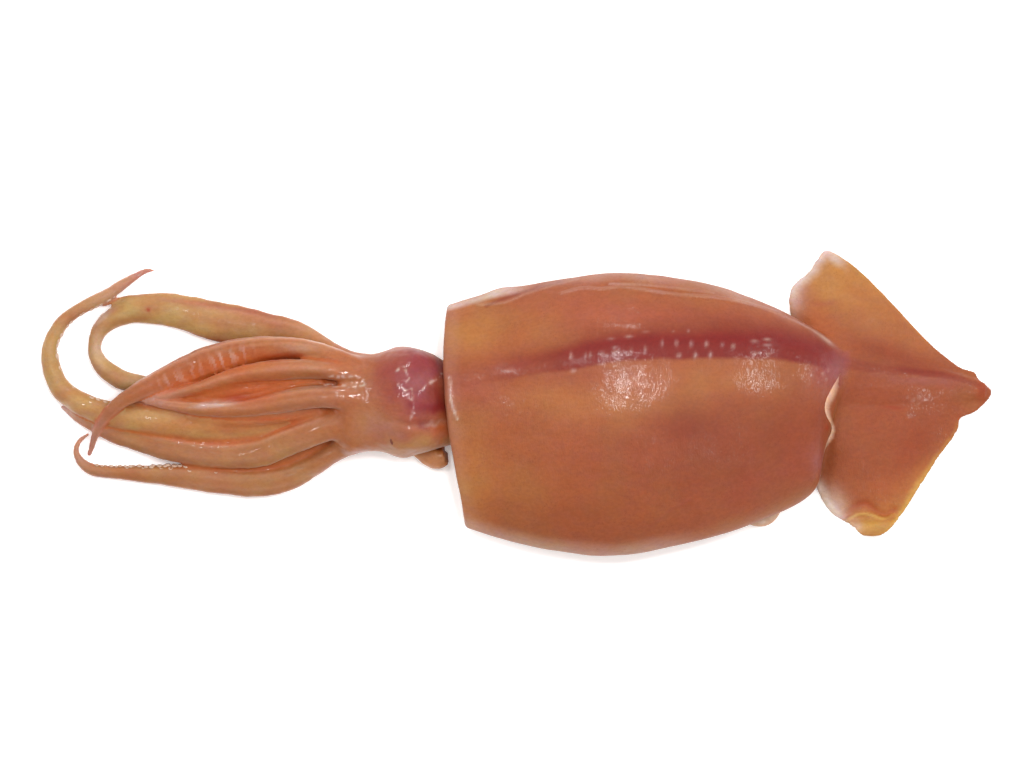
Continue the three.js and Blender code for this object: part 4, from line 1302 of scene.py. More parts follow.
def mantle_rings(along, inset, forward):
    """Rings round the mantle, one for each share of its length, drawn in by the inset and moved forward."""
    along, inset, forward = (value[:, None] for value in np.broadcast_arrays(along, inset, forward))
    rows = blend(MANTLE, along[:, 0] * (len(MANTLE) - 1))
    right_x, right_y, left_x, left_y, height, side, keel = (column[:, None] for column in rows.T)
    turn = ring_turns(MANTLE_SIDES)[None, :]
    across = np.cos(turn)
    inward = 1 - across * across
    half_x, half_y = (right_x - left_x) / 2, (right_y - left_y) / 2
    share = np.maximum(1 - inset / np.hypot(half_x, half_y), POCKET_LEAST)
    bow = COLLAR_BOW * (1 - smooth(0, BOW_ENDS, along)) - REAR_BOW * smooth(1 - BOW_ENDS, 1, along)
    top = np.maximum(height - inset, side + BACK_LEAST)
    skin = 1 - smooth(0, 0.5, inset)
    ridge = skin * millimetres("keel_height") * bell(across - keel, KEEL_WIDTH) * smooth(0, KEEL_RISE, along)
    upper = side + (top - side) * inward**BACK_ARCH * (1 + BACK_SKEW * across * inward) + ridge
    lower = inset + (side - inset) * np.maximum(0, 1 - np.sqrt(inward / BELLY_CURVE))
    x = (right_x + left_x) / 2 + half_x * across * share - bow * inward * (1 + BOW_SKEW * across) - forward
    y = (right_y + left_y) / 2 + half_y * across * share
    return rings_of(x, y, np.where(np.sin(turn) >= 0, upper, lower))


def mantle_shell():
    """The mantle as a sock: its skin from the blunt rear end to the collar, over the collar's round edge and
    down the wall of the pocket to its blind end."""
    wall, bulge = millimetres("wall"), millimetres("collar_round")
    skin = mantle_rings(np.linspace(1, 0, MANTLE_RINGS), 0.0, 0.0)
    over = math.pi * np.linspace(0, 1, COLLAR_RINGS)[1:-1]
    edge = mantle_rings(0.0, wall * (1 - np.cos(over)) / 2, bulge * np.sin(over))
    turn = np.linspace(0, math.pi / 2, POCKET_RINGS)
    inside = mantle_rings(POCKET_DEPTH * np.sin(turn), wall + POCKET_ROUNDING * (1 - np.cos(turn)), 0.0)
    return tube(np.concatenate([skin, edge, inside]))


def fin_edge():
    """The outline of the fins as even points, a little ragged, more so along the thin front edges."""
    rim = evenly(FIN_OUTLINE, ROW_STEP, closed=True)
    flat = np.column_stack([rim, np.zeros(len(rim))])
    rags = RAG_DEPTH + RAG_FRONT * (1 - smooth(*FRONT_EDGE_END, rim[:, 0]))
    ragged = rags * lumps(flat, RAG_SIZE, 3.1) + NOTCH_DEPTH * lumps(flat, NOTCH_SIZE, 5.7)
    outward = rim - np.array(FIN_CENTRE)
    outward /= np.linalg.norm(outward, axis=1)[:, None]
    return rim - outward * np.abs(ragged)[:, None]


def fin_heights(x, y, rim):
    """Underside of the fins, where rim is 0 in the middle and 1 at the edge."""
    lift = FIN_LIFT * (1 - smooth(*FIN_LIFT_END, x)) * (1 - smooth(0.5, 1, rim))
    wave = FIN_WAVE * (1 + np.sin(x / FIN_WAVE_X + y / FIN_WAVE_Y)) * rim
    share = (x - CURL_FROM[0]) / (CURL_TO[0] - CURL_FROM[0])
    past = CURL_FROM[1] + (CURL_TO[1] - CURL_FROM[1]) * share - y
    along = smooth(*CURL_START, share) * (1 - smooth(*CURL_END, share))
    return lift + wave + CURL_HEIGHT * smooth(*CURL_REACH, past) * along


def fin_shell():
    """Both fins as one thin closed sheet of rings round their centre."""
    rim = fin_edge()
    shares = np.linspace(0, 1, FIN_RINGS)[1:, None] ** FIN_SPACING
    centre = np.array(FIN_CENTRE, float)
    flat = centre + (rim - centre)[None, :, :] * shares[..., None]
    x, y = flat[..., 0], flat[..., 1]
    low = fin_heights(x, y, shares)
    thick, thin = millimetres("fin_thickness"), millimetres("rim_thickness")
    high = low + thick + (thin - thick) * smooth(*FIN_TAPER, shares)
    return tube(np.concatenate([rings_of(x, y, low), rings_of(x, y, high)[::-1]])[::-1])


def edge_of(points, edge):
    """Where that edge of the mantle lies across from each point."""
    return np.interp(points[:, 0], edge[:, 0], edge[:, 1])


def fin_share(points):
    """1 on the tail and the fins, 0 on the mantle, and between them where they meet."""
    x, y, z = points.T
    rear = LEFT_EDGE[-3:, ::-1]
    low = smooth(13, 9, z)
    behind = smooth(0.5, 3, x - np.interp(y, rear[:, 0], rear[:, 1])) * low
    beside = np.maximum(y - edge_of(points, RIGHT_EDGE), edge_of(points, LEFT_EDGE) - y)
    return np.maximum(behind, smooth(-0.5, 1, beside) * (x > 120) * low)


def line_gaps(points):
    """How far each point lies from each of the body's lines, as seen from above."""
    return {name: nearest(points[:, :2], evenly(line, LINE_STEP))[1] for name, line in LINES.items()}


def beads(points):
    """1 on the wet beads of skin along the dark stripe, 0 between them."""
    return sum(rise * spots(points, x, y, long, wide) for x, y, long, wide, rise in BEADS)


def add_stripe(points, moved, upward, masks):
    """The dark stripe, soft towards the squid's right with a blush beside it, and sharp towards its left."""
    line = evenly(STRIPE, ROW_STEP)
    number, gap = nearest(wander(points, 9, 0.7)[:, :2], line[:, :2])
    out = gap / line[number, 2]
    strength = line[number, 3] * upward
    beyond = moved[:, 1] > line[number, 1]
    edge = np.where(beyond, smooth(*STRIPE_SOFT_SIDE, out), smooth(*STRIPE_SHARP_SIDE, out))
    masks["stripe"] = strength * edge
    masks["blush"] += STRIPE_BLUSH_STRENGTH * smooth(*STRIPE_BLUSH, out) * strength * beyond


def add_bands(points, skin, fins, gap_to, masks):
    """The bands of colour along the mantle's edges, with painted light along the left edge, and the colour
    along the lines of the skin, with painted shade and highlights on some of them.
    """
    patches = 0.8 + 0.6 * lumps(points * (0.3, 1, 1), 4, 1.4)
    cover = {
        "even": skin,
        "patchy": patches * skin,
        "thick": (patches + 0.3) * skin,
        "spotty": (0.7 + lumps(points, 1.6, 5.2)) * skin,
        "fins": fins,
    }
    x, y = points[:, 0], points[:, 1]
    (left_y, left_x), (right_y, right_x) = COLLAR_ENDS
    arc = 1 - ((y - COLLAR_MIDDLE) / COLLAR_HALF) ** 2
    edge_gap = {
        "right": edge_of(points, RIGHT_EDGE) - y,
        "left": y - edge_of(points, LEFT_EDGE),
        "collar": x - np.interp(y, (left_y, right_y), (left_x, right_x)) + COLLAR_BOW * arc,
    }
    for name, edge, gaps, strength, how, spans in EDGE_BANDS:
        masks[name] += strength * smooth(*gaps, edge_gap[edge]) * within(spans, x) * cover[how]
    for line, name, width, strength, how in LINE_MARKS:
        masks[name] += strength * bell(gap_to[line], width) * cover[how]


def add_fin_edges(points, rim_gap, on_fins, masks):
    """The pale front edges of both fins, and the yellow edges of the left fin and the tail."""
    x, y = points[:, 0], points[:, 1]
    ragged_gap = rim_gap + 1.2 * lumps(points, 5, 2.7)
    strength, gaps, ahead, right, left = PALE_FRONT
    front = smooth(*ahead, x) * (smooth(*right, y) + smooth(*left, y))
    masks["film"] += on_fins * strength * smooth(*gaps, ragged_gap) * front
    strength, gaps, behind = YELLOW_EDGE
    masks["cream"] += on_fins * strength * smooth(*gaps, rim_gap) * smooth(*behind, x)
    left, behind, widest, (gap, more_gap), (strength, more) = YELLOW_REAR
    lower = smooth(*widest, y)
    yellow = smooth(gap + more_gap * lower, 0.4, ragged_gap) * (strength + more * lower)
    masks["cream"] += on_fins * smooth(*left, y) * smooth(*behind, x) * yellow


def pocket_share(points, normals):
    """1 on the lining of the pocket, whose skin faces the middle of the mantle."""
    rows = blend(MANTLE, np.clip(points[:, 0] / MANTLE_LENGTH, 0, 1) * (len(MANTLE) - 1))
    _, right_y, _, left_y, height, _, _ = rows.T
    middle = np.stack([points[:, 0], (right_y + left_y) / 2, height / 2], axis=1)
    outward = (points - middle) / np.maximum(np.linalg.norm(points - middle, axis=1), 1)[:, None]
    return smooth(0.0, -0.25, (outward * normals).sum(1)) * (points[:, 0] < LINING_END)


def body_masks(points, normals, rim_gap):
    """How far each colour of the mantle, tail and fins shows at each point."""
    moved = wander(points, 14, 2.2)
    on_fins = fin_share(points)
    upward = smooth(-0.2, 0.5, normals[:, 2])
    gap_to = line_gaps(points)
    bead = beads(points)

    masks = {name: np.zeros(len(points)) for name in BODY_LAYERS}
    fin_masks = {name: np.zeros(len(points)) for name in BODY_LAYERS}
    add_blots(moved, BODY_BLOTS, masks)
    add_blots(moved, FIN_BLOTS, fin_masks)
    for name in masks:
        masks[name] = masks[name] * (1 - on_fins) + fin_masks[name] * on_fins
    add_stripe(points, moved, upward, masks)
    add_bands(points, upward * (1 - on_fins), upward * on_fins, gap_to, masks)
    add_fin_edges(points, rim_gap, on_fins, masks)
    # The beads' painted highlights.
    masks["film"] += BEAD_PAINTED_GLINT * bead * upward
    masks["lining"] = pocket_share(points, normals)
    masks["pale_belly"] = smooth(-0.2, -0.8, normals[:, 2])

    masks["wet"] = SKIN_WET + LINING_WET * masks["lining"]
    add_blots(wander(points, 6, 1.5), WET_BODY, masks)
    masks["wet"] += bell(gap_to["collar_glint_line"], COLLAR_WET_WIDTH) + BEAD_WET * bead
    return masks


def body_relief(points, normals):
    """How far each point of the mantle, tail and fins stands out from its plain form."""
    x, y = points[:, 0], points[:, 1]
    upward = smooth(0.0, 0.6, normals[:, 2])
    on_fins = fin_share(points)
    cover = {"all": upward, "fins": upward * on_fins}
    gap_to = line_gaps(points)
    relief = millimetres("lump_height") * lumpy(points, BODY_LUMPS) * (1 - 0.5 * on_fins)

    folds = sum(height * bell(gap_to[line], width) for line, width, height in FOLDS)
    fold = evenly(LINES["side_fold"], ROW_STEP)
    beyond = y - fold[nearest(points[:, :2], fold)[0], 1]
    off, width, depth, reach = FOLD_DIP
    folds -= depth * bell(beyond - off, width) * (gap_to["side_fold"] < reach)
    relief += millimetres("fold_height") * folds * smooth(*FOLDS_END, x) * upward
    for line, width, height, how in CREASES:
        relief += height * bell(gap_to[line], width) * cover[how]

    middle, half, height, inside, end = SHOULDER
    relief += height * bell(x - middle, half) * smooth(inside, 0, edge_of(points, RIGHT_EDGE) - y) * (x < end)
    relief += BEAD_HEIGHT * beads(points) * upward
    return relief + lumpy(points * (0.4, 1, 0.4), [FIN_GRAIN]) * cover["fins"]


def build_body():
    """The mantle, the tail and both fins as one skin."""
    shells = [mantle_shell(), fin_shell(), limb(TAIL, TAIL_SIDES, ROW_STEP, TAIL_DEPTH)]
    piece = fused("squid_mantle_and_fins", shells, millimetres("body_grain"))
    mesh = piece.data
    points = smoothed(points_of(mesh), mesh, STEP_PASSES, 1.0, EVEN_OUT)

    # The hollows where the tail meets the mantle and the fins are filled.
    x, y, z = points.T
    rim_gap = nearest(points[:, :2], fin_edge())[1]
    (middle_x, half_x), (middle_y, half_y) = TAIL_JOIN_X, TAIL_JOIN_Y
    tail_join = bell(x - middle_x, half_x) * bell(y - middle_y, half_y)
    fin_seam = smooth(*FIN_SEAM, x) * smooth(*FIN_SEAM_GAP, rim_gap) * (z > 2)
    joins = np.clip(tail_join + fin_seam, 0, 1) * (z > 1.5)
    points = smoothed(points, mesh, JOIN_PASSES, joins, WEAR_DOWN)
    set_points(mesh, points)
    normals = normals_of(mesh)

    # The fins' edges are worn thin, and then the whole skin gets its relief.
    on_fins = smooth(*FIN_WEAR_SPAN, points[:, 0]) * (points[:, 2] < FIN_WEAR_BELOW)
    worn = on_fins * smooth(*FIN_WEAR_REACH, rim_gap) * np.sign(normals[:, 2]) * np.abs(normals[:, 2])
    points[:, 2] -= FIN_WEAR * worn
    points += normals * body_relief(points, normals)[:, None]
    points[:, 2] = np.maximum(points[:, 2], 0)
    set_points(mesh, points)

    mark(mesh, body_masks(points, normals_of(mesh), rim_gap))
    finish_piece(piece, wet_flesh("mantle_skin", "flesh", BODY_LAYERS, (0.95, 0.12, (0.6, 1.2, 1))))


# ---- head and arms -------------------------------------------------------------------------------------

def head_shell():
    """The head as rings from the crown of the arms to inside the mantle."""
    rows = blend(HEAD, np.linspace(0, len(HEAD) - 1, HEAD_RINGS))
    x, right, left, top, bottom = (column[:, None] for column in rows.T)
    turn = ring_turns(HEAD_SIDES)[None, :]
    rise = np.sign(np.sin(turn)) * np.abs(np.sin(turn)) ** HEAD_ARCH
    y = (right + left) / 2 + (right - left) / 2 * np.cos(turn)
    z = np.maximum((top + bottom) / 2 + (top - bottom) / 2 * rise, 0)
    return tube(rings_of(x, y, z))


def arm_depth(width):
    """How deep an arm is where it has that width."""
    return np.minimum(width * ARM_DEPTH, ARM_DEEPEST)


def arm_section(turn):
    """The swell of an arm's section: fuller on top, flatter on the side with the suckers."""
    return 1 + 0.05 * np.sin(turn) + 0.04 * np.cos(4 * turn)


def arm_places(points):
    """For each point: the number of the arm that it lies on, the share of that arm's length, the turn round
    it in degrees, and how near the next arm is in its half widths."""
    best = np.full(len(points), np.inf)
    second = np.full(len(points), np.inf)
    which = np.zeros(len(points), int)
    share = np.zeros(len(points))
    turn = np.zeros(len(points))
    for index, rows in enumerate(ARMS.values()):
        path = evenly(rows, ROW_STEP)
        along, side, up = directions(path)
        number, _ = nearest(points, path[:, :3])
        offset = points - path[number, :3]
        width = np.maximum(path[number, 3], LIMB_LEAST)
        out = (offset * side[number]).sum(1) / (width / 2)
        rise = (offset * up[number]).sum(1) / (arm_depth(width) / 2)
        past = (offset * along[number]).sum(1) / (width / 2)
        reach = np.sqrt(out**2 + rise**2 + past**2)
        closer = reach < best
        second = np.where(closer, best, np.minimum(second, reach))
        which = np.where(closer, index, which)
        share = np.where(closer, number / (len(path) - 1), share)
        turn = np.where(closer, np.degrees(np.arctan2(rise, out)), turn)
        best = np.where(closer, reach, best)
    return SimpleNamespace(which=which, share=share, turn=turn, second=second)


def on_arm(arms, name):
    """True for the points of one arm."""
    return arms.which == list(ARMS).index(name)


def arm_ridges(arms):
    """How strongly a raised ridge, painted pale as a sheen of light, runs through each point of the arms."""
    strength = np.zeros(len(arms.which))
    for name, ridges in ARM_RIDGES.items():
        for centre, spread, start, end, rise in ridges:
            begins = smooth(start - RIDGE_START, start + RIDGE_START, arms.share)
            ends = smooth(end + RIDGE_END, end - RIDGE_END, arms.share)
            strength += on_arm(arms, name) * rise * begins * ends * bell(arms.turn - centre, spread)
    return strength


def face_folds(points, arms, face):
    """How strongly the folds run across the hollow face of the crossing arm."""
    waver = FACE_FOLD_WAVER * lumps(points, *FACE_FOLD_LUMPS)
    waves = np.sin(2 * math.pi * arms.share / FACE_FOLD_PITCH + waver)
    return smooth(*FACE_FOLD_FULL, waves) * face * within(FACE_FOLD_SPANS, arms.share)


def head_marks(points, normals, arms):
    """How strongly the forms of the skin of the head and arms show at each point, and where highlights are
    painted.
    """
    x, y = points[:, 0], points[:, 1]
    face = on_arm(arms, "crossing") * within(FACE_SPANS, arms.share) * bell(arms.turn - FACE_TURN, FACE_WIDTH)
    wavering = wander(points, 2.4, 0.8)[:, :2]
    gaps = [nearest(wavering, evenly(line, WRINKLE_STEP))[1] for line in HEAD_WRINKLES]
    on_top = smooth(0.3, 0.7, normals[:, 2])
    return SimpleNamespace(
        on_arms=smooth(*ARMS_SPAN, x),
        ridges=arm_ridges(arms),
        face=face,
        folds=face_folds(points, arms, face),
        crown_top=bell(x - CROWN_TOP[0], CROWN_TOP_SIZE[0]) * bell(y - CROWN_TOP[1], CROWN_TOP_SIZE[1]),
        wrinkles=sum(bell(gap, WRINKLE_WIDTH) for gap in gaps) * on_top,
        strokes=sum(bell(gap, WRINKLE_GLINT_WIDTH) for gap in gaps) * on_top,
    )


def head_relief(points, normals, arms, marks):
    """How far each point of the head and arms stands out from its plain form."""
    x, y = points[:, 0], points[:, 1]
    relief = millimetres("ridge_height") * marks.ridges * smooth(*RIDGE_SPAN, x)
    height, width, end = ROOT_RIDGE
    relief += height * bell(arms.turn - 90, width) * marks.on_arms * smooth(*end, x)
    relief += lumpy(points, HEAD_LUMPS)
    relief += lumpy(points * (0.5, 1, 1), [CROWN_GRAIN]) * marks.crown_top
    relief += FACE_FOLD_HEIGHT * marks.folds - FACE_DEPTH * marks.face
    fold_y = CHEEK_FOLD_BEND * (x - CHEEK_FOLD[0]) ** 2 + CHEEK_FOLD[1]
    middle, half = CHEEK_FOLD_STRETCH
    cheek = bell(y - fold_y, CHEEK_FOLD_WIDTH) * bell(x - middle, half) * smooth(0.1, 0.5, normals[:, 2])
    return relief - CHEEK_FOLD_DEPTH * cheek + WRINKLE_HEIGHT * marks.wrinkles


def add_tones(points, arms, masks):
    """The gold and the blush that each arm has from the head to its tip."""
    for name in ("gold", "blush"):
        ends = np.array([tones[name] for tones in ARM_TONES.values()])
        near, far = ends[arms.which].T
        tone = near + (far - near) * smooth(*TONE_SPAN, arms.share)
        masks[name] = masks[name] + tone * smooth(*TONE_START_SPAN, points[:, 0])


def add_painted_glow_and_shade(normals, arms, marks, patches, masks):
    """Painted shade deep between the arms: an orange glow, and dark grooves where two arms nearly meet."""
    sideways = np.abs(np.cos(np.radians(arms.turn)))
    close = smooth(*GLOW_GAP, arms.second)
    # Painted orange glow on steep sides close to the next arm and on skin that faces down, deep in the shade.
    glow = np.array([tones["orange_and_painted_glow"] for tones in ARM_TONES.values()])[arms.which]
    glow = glow + close * (smooth(*GLOW_SIDE, sideways) + 0.3 * patches) + smooth(0.2, -0.5, normals[:, 2])
    masks["orange_and_painted_glow"] = masks["orange_and_painted_glow"] + marks.on_arms * np.clip(0.85 * glow + 0.35 * marks.face, 0, 1)
    # Painted shade where two arms nearly meet.
    painted_shade_and_speck = smooth(*GROOVE_SHADE_GAP, arms.second) * smooth(*GROOVE_SHADE_SIDE, sideways)
    masks["painted_shade_and_speck"] += 0.35 * marks.on_arms * painted_shade_and_speck


def head_masks(points, normals, arms, marks):
    """How far each colour of the head and arms shows at each point."""
    x = points[:, 0]
    facing = normals[:, 2]
    upper = smooth(-0.6, 0.1, facing)
    patches = lumps(points * (0.5, 1, 1), 5, 6.6)

    masks = {name: np.zeros(len(points)) for name in ARM_LAYERS}
    add_blots(wander(wander(points, 7, 3), 3, 0.8), HEAD_BLOTS, masks)
    for name in masks:
        masks[name] = masks[name] * smooth(*HEAD_SPAN, x) * upper
    add_tones(points, arms, masks)
    masks["gold"] = masks["gold"] * (0.8 + 0.7 * patches)
    add_painted_glow_and_shade(normals, arms, marks, patches, masks)
    add_blots(wander(points, 3, 0.4), ARM_BLOTS, masks)

    # Pale ridges with their painted sheen, painted light on the open sides of the arms, pale tips, and
    # strokes of painted highlight on the wrinkles.
    painted_side_light = within(PAINTED_SIDE_RISE, facing) * smooth(*PAINTED_SIDE_GAP, arms.second)
    ridges = marks.ridges + 0.6 * painted_side_light * (1 + 0.5 * patches)
    masks["ridge"] = smooth(*RIDGE_COLOUR_SPAN, x) * ridges * upper * (1 - 0.7 * masks["painted_shade_and_speck"])
    masks["film"] = masks["film"] + 0.3 * smooth(0.75, 1.0, arms.share) * marks.on_arms
    masks["film"] += 0.28 * marks.folds * (1 + patches) + 0.38 * painted_side_light
    masks["film"] += 0.75 * marks.strokes * smooth(-0.3, 0.2, lumps(points, 1.5, 5.8))

    patchy = 0.15 + 0.45 * smooth(-0.1, 0.4, lumps(points * (0.4, 1, 1), 3.4, 8.2))
    drier = (1 - 0.6 * on_arm(arms, "upper_loop")) * (1 - 0.5 * masks["purple"])
    masks["wet"] = patchy * drier + marks.crown_top + marks.wrinkles
    add_blots(wander(points, 3, 0.6), WET_ARMS, masks)
    return masks


def build_head_and_arms():
    """The head with its eye bulges, the ten arms and the flesh between them as one skin."""
    x, y, z = EYE_BULGE
    shells = [head_shell()]
    shells += [ball((x, y * side, z), EYE_BULGE_SIZE) for side in (-1, 1)]
    shells += [limb(rows, ARM_SIDES, ARM_STEP, ARM_DEPTH, ARM_DEEPEST, arm_section) for rows in ARMS.values()]
    shells += [limb(rows, WEB_SIDES, WEB_STEP, ARM_DEPTH, ARM_DEEPEST) for rows in (WEB, *SEAMS)]
    piece = fused("squid_head_and_arms", shells, millimetres("arm_grain"))
    mesh = piece.data

    # The crown is worn smooth, and then the valleys between the arms are filled a little.
    points = points_of(mesh)
    crown = within(CROWN_SPANS, points[:, 0])
    points = smoothed(points, mesh, STEP_PASSES, 1.0, EVEN_OUT)
    points = smoothed(points, mesh, CROWN_PASSES, CROWN_WEAR * crown * (points[:, 2] > 1), WEAR_DOWN)
    arms = arm_places(points)
    valley = smooth(*VALLEY_GAP, arms.second) * smooth(*VALLEY_SPAN, points[:, 0]) * (points[:, 2] > 2)
    points = smoothed(points, mesh, VALLEY_PASSES, VALLEY_FILL * valley, WEAR_DOWN)
    set_points(mesh, points)

    normals = normals_of(mesh)
    marks = head_marks(points, normals, arms)
    points += normals * head_relief(points, normals, arms, marks)[:, None]
    points[:, 2] = np.maximum(points[:, 2], 0)
    set_points(mesh, points)

    mark(mesh, head_masks(points, normals_of(mesh), arms, marks))
    finish_piece(piece, wet_flesh("arm_skin", "arm", ARM_LAYERS, (1.3, 0.07, (2.6, 0.8, 1)), 0.25, 0.35, 3.5))


# ---- suckers, eyes and loose skin ----------------------------------------------------------------------

def sucker(radius, sides=14):
    """One sucker, facing +Z."""
    turn = ring_turns(sides)
    out, rise = np.array(SUCKER_PROFILE).T[..., None] * radius
    return tube(rings_of(out * np.cos(turn), out * np.sin(turn), rise))


def build_suckers():
    """Rows of suckers along the arms, each a little different from the next."""
    shells = []
    for row, (arm, start, end, turn, pitch, share, sunk_in) in enumerate(SUCKER_ROWS):
        path = evenly(ARMS[arm], SUCKER_STEP)
        _, side, up = directions(path)
        count = int(round((end - start) * len(path) * SUCKER_STEP / pitch))
        for number in range(count + 1):
            bigger = noise.noise((number * 1.7, row * 3.1, 0.5))
            aside = noise.noise((number * 2.3, row * 1.9, 4.5))
            spot = (number + 0.5 * (row % 2) + SUCKER_PLACE_RANGE * aside) / (count + 0.5)
            at = int(np.clip(start + (end - start) * spot, 0, 1) * (len(path) - 1))
            angle = math.radians(turn + SUCKER_TURN_RANGE * aside)
            width = path[at, 3]
            radius = min(width * share, SUCKER_LARGEST) * (1 + SUCKER_SIZE_RANGE * bigger)
            facing = side[at] * math.cos(angle) + up[at] * math.sin(angle)
            centre = path[at, :3] + side[at] * math.cos(angle) * width / 2
            centre = centre + up[at] * math.sin(angle) * arm_depth(width) / 2 - facing * radius * sunk_in
            centre[2] = max(centre[2], radius * SUCKER_LIFT)
            points, faces = sucker(radius)
            placed = turned_to(points, facing, "Y") + centre
            placed[:, 2] = np.maximum(placed[:, 2], SUCKER_LOWEST)
            shells.append((placed, faces))
    piece = new_object("squid_suckers", *joined(shells))
    finish_piece(piece, plain_wet("sucker_skin", "sucker", 0.4, 0.3))


def build_skin_edge():
    """The pale edge of skin that has rolled back along the lip at the mantle's rear end. It lies on the flesh
    and takes its colours from the flesh right beneath it."""
    flesh = bpy.data.objects["squid_mantle_and_fins"]
    path = evenly(LIP, LIP_STEP)
    _, side, _ = directions(path)
    run = np.linspace(0, 1, len(path))[:, None]
    waver = np.array([noise.noise((0.9 * x, 0.9 * y, 2.0)) for x, y, _, _ in path])[:, None]
    ends = smooth(*LIP_START, run) * smooth(*LIP_END, run)
    width = path[:, 3:4] * (1 + 0.2 * waver) * (0.4 + 0.6 * ends)
    section = np.linspace(0, len(LIP_SECTION), LIP_SIDES, endpoint=False)
    share, rise = blend(LIP_SECTION, section, closed=True).T
    flat = path[:, None, :2] + side[:, None, :2] * (share * width)[..., None]
    below = np.array([first_hit(flesh, (x, y, 60), (0, 0, -1))[2] for x, y in flat.reshape(-1, 2)])
    raised = rise * (0.6 + 0.4 * ends) * (1 + 0.3 * waver) - 0.35 * (1 - ends)
    points, faces = tube(rings_of(flat[..., 0], flat[..., 1], below.reshape(raised.shape) + raised))
    piece = new_object("squid_rolled_skin", points, faces)

    # The last two points are the middles of the two ends.
    across, ending = (values.ravel() for values in np.broadcast_arrays(share, ends))
    pale = smooth(1.0, 0.1, np.append(across, (0.3, 0.3))) * (0.25 + 0.75 * np.append(ending, (0, 0)))
    masks = {"lip": pale}
    under = points_of(flesh.data)
    first, lowest, aside = LIP_FLESH
    close = np.flatnonzero((under[:, 0] > first) & (under[:, 2] > lowest) & (np.abs(under[:, 1]) < aside))
    number, _ = nearest(points, under[close], 500)
    for name in BODY_LAYERS:
        values = np.empty(len(under), np.float32)
        flesh.data.attributes[name].data.foreach_get("value", values)
        masks[name] = values[close][number]
    mark(piece.data, masks)
    layers = {**BODY_LAYERS, "lip": ("lip", 1.0)}
    finish_piece(piece, wet_flesh("rolled_skin", "flesh", layers, (1.0, 0.06, (1, 1, 1))))


def build_funnel():
    """The funnel beside the head, with its crease in painted shade and its mouth painted pale as a highlight.
    """
    piece = fused("squid_funnel", [limb(FUNNEL, LOOSE_SIDES, LOOSE_STEP, FUNNEL_DEPTH)], LOOSE_GRAIN)
    points = smoothed(points_of(piece.data), piece.data, STEP_PASSES, 1.0, EVEN_OUT)
    set_points(piece.data, points)
    crease_x, crease_y = FUNNEL_CREASE
    crease = points[:, 1] - crease_y + FUNNEL_CREASE_SLOPE * (points[:, 0] - crease_x)
    relief = 0.2 * lumps(points, 2.5, 1.2) - FUNNEL_CREASE_DEPTH * bell(crease, FUNNEL_CREASE_WIDTH)
    points += normals_of(piece.data) * relief[:, None]
    set_points(piece.data, points)
    x, y = points[:, 0], points[:, 1]
    mouth = smooth(*FUNNEL_MOUTH, x + FUNNEL_MOUTH_SLOPE * (y - FUNNEL_MOUTH_MIDDLE))
    # The crease gets painted shade and the mouth a painted highlight.
    mark(piece.data, {
        "film": 0.125 * smooth(-17.6, -20.5, y) + mouth,
        "painted_shade_and_speck": 0.7 * bell(crease, FUNNEL_CREASE_SHADE),
        "wet": 0.5 + mouth,
    })
    finish_piece(piece, wet_flesh("funnel_skin", "funnel", FUNNEL_LAYERS, (1.0, 0.06, (1, 1, 1))))


def build_scrap():
    """The loose scrap of skin under the mantle's edge."""
    piece = fused("squid_skin_scrap", [limb(SCRAP, LOOSE_SIDES, LOOSE_STEP, SCRAP_DEPTH)], LOOSE_GRAIN)
    points = smoothed(points_of(piece.data), piece.data, STEP_PASSES, 1.0, EVEN_OUT)
    points[:, 2] = np.maximum(points[:, 2] + 0.35 * lumps(points, 4, 6.1), 0)
    set_points(piece.data, points)
    finish_piece(piece, plain_wet("scrap_skin", "lip", 0.3, 0.5))


def build_eyes():
    """A dull eye in its slit on each side of the head."""
    head = bpy.data.objects["squid_head_and_arms"]
    shells = []
    for place, inward, facing in EYES:
        points, faces = ball((0, 0, 0), EYE_SIZE, 24)
        shells.append((turned_to(points, facing, "X") + first_hit(head, place, inward), faces))
    piece = new_object("squid_eyes", *joined(shells))
    finish_piece(piece, plain_wet("eye_gloss", "eye", 0.5, 0.05))


# ---- stage ---------------------------------------------------------------------------------------------

def build_table():
    """The pale table."""
    bpy.ops.mesh.primitive_plane_add(size=TABLE_SIZE)
    table = bpy.context.object
    table.name = "table"
    material, tree = empty_material("table_top")
    surface(tree, {
        "Base Color": paint("table"),
        "Roughness": TABLE_ROUGHNESS,
        "Emission Color": paint("table"),
        "Emission Strength": TABLE_GLOW,
    })
    table.data.materials.append(material)


def build_room():
    """The soft light of the room, dimmer right overhead and brighter on the squid's right side."""
    world = bpy.data.worlds.new("soft_room")
    bpy.context.scene.world = world
    world.use_nodes = True
    tree = world.node_tree
    tree.nodes.clear()
    direction = node(tree, "ShaderNodeTexCoord").outputs["Generated"]
    parts = node(tree, "ShaderNodeSeparateXYZ", {0: direction})
    room = between(tree, parts.outputs[2], *CEILING_SPAN, ROOM_LIGHT, CEILING_LIGHT)
    sideways = between(tree, parts.outputs[1], -1, 1, 1 - SIDE_LIGHT, 1 + SIDE_LIGHT)
    sky = node(tree, "ShaderNodeBackground", {"Color": ROOM_COLOUR, "Strength": times(tree, room, sideways)})
    node(tree, "ShaderNodeOutputWorld", {"Surface": sky.outputs[0]})


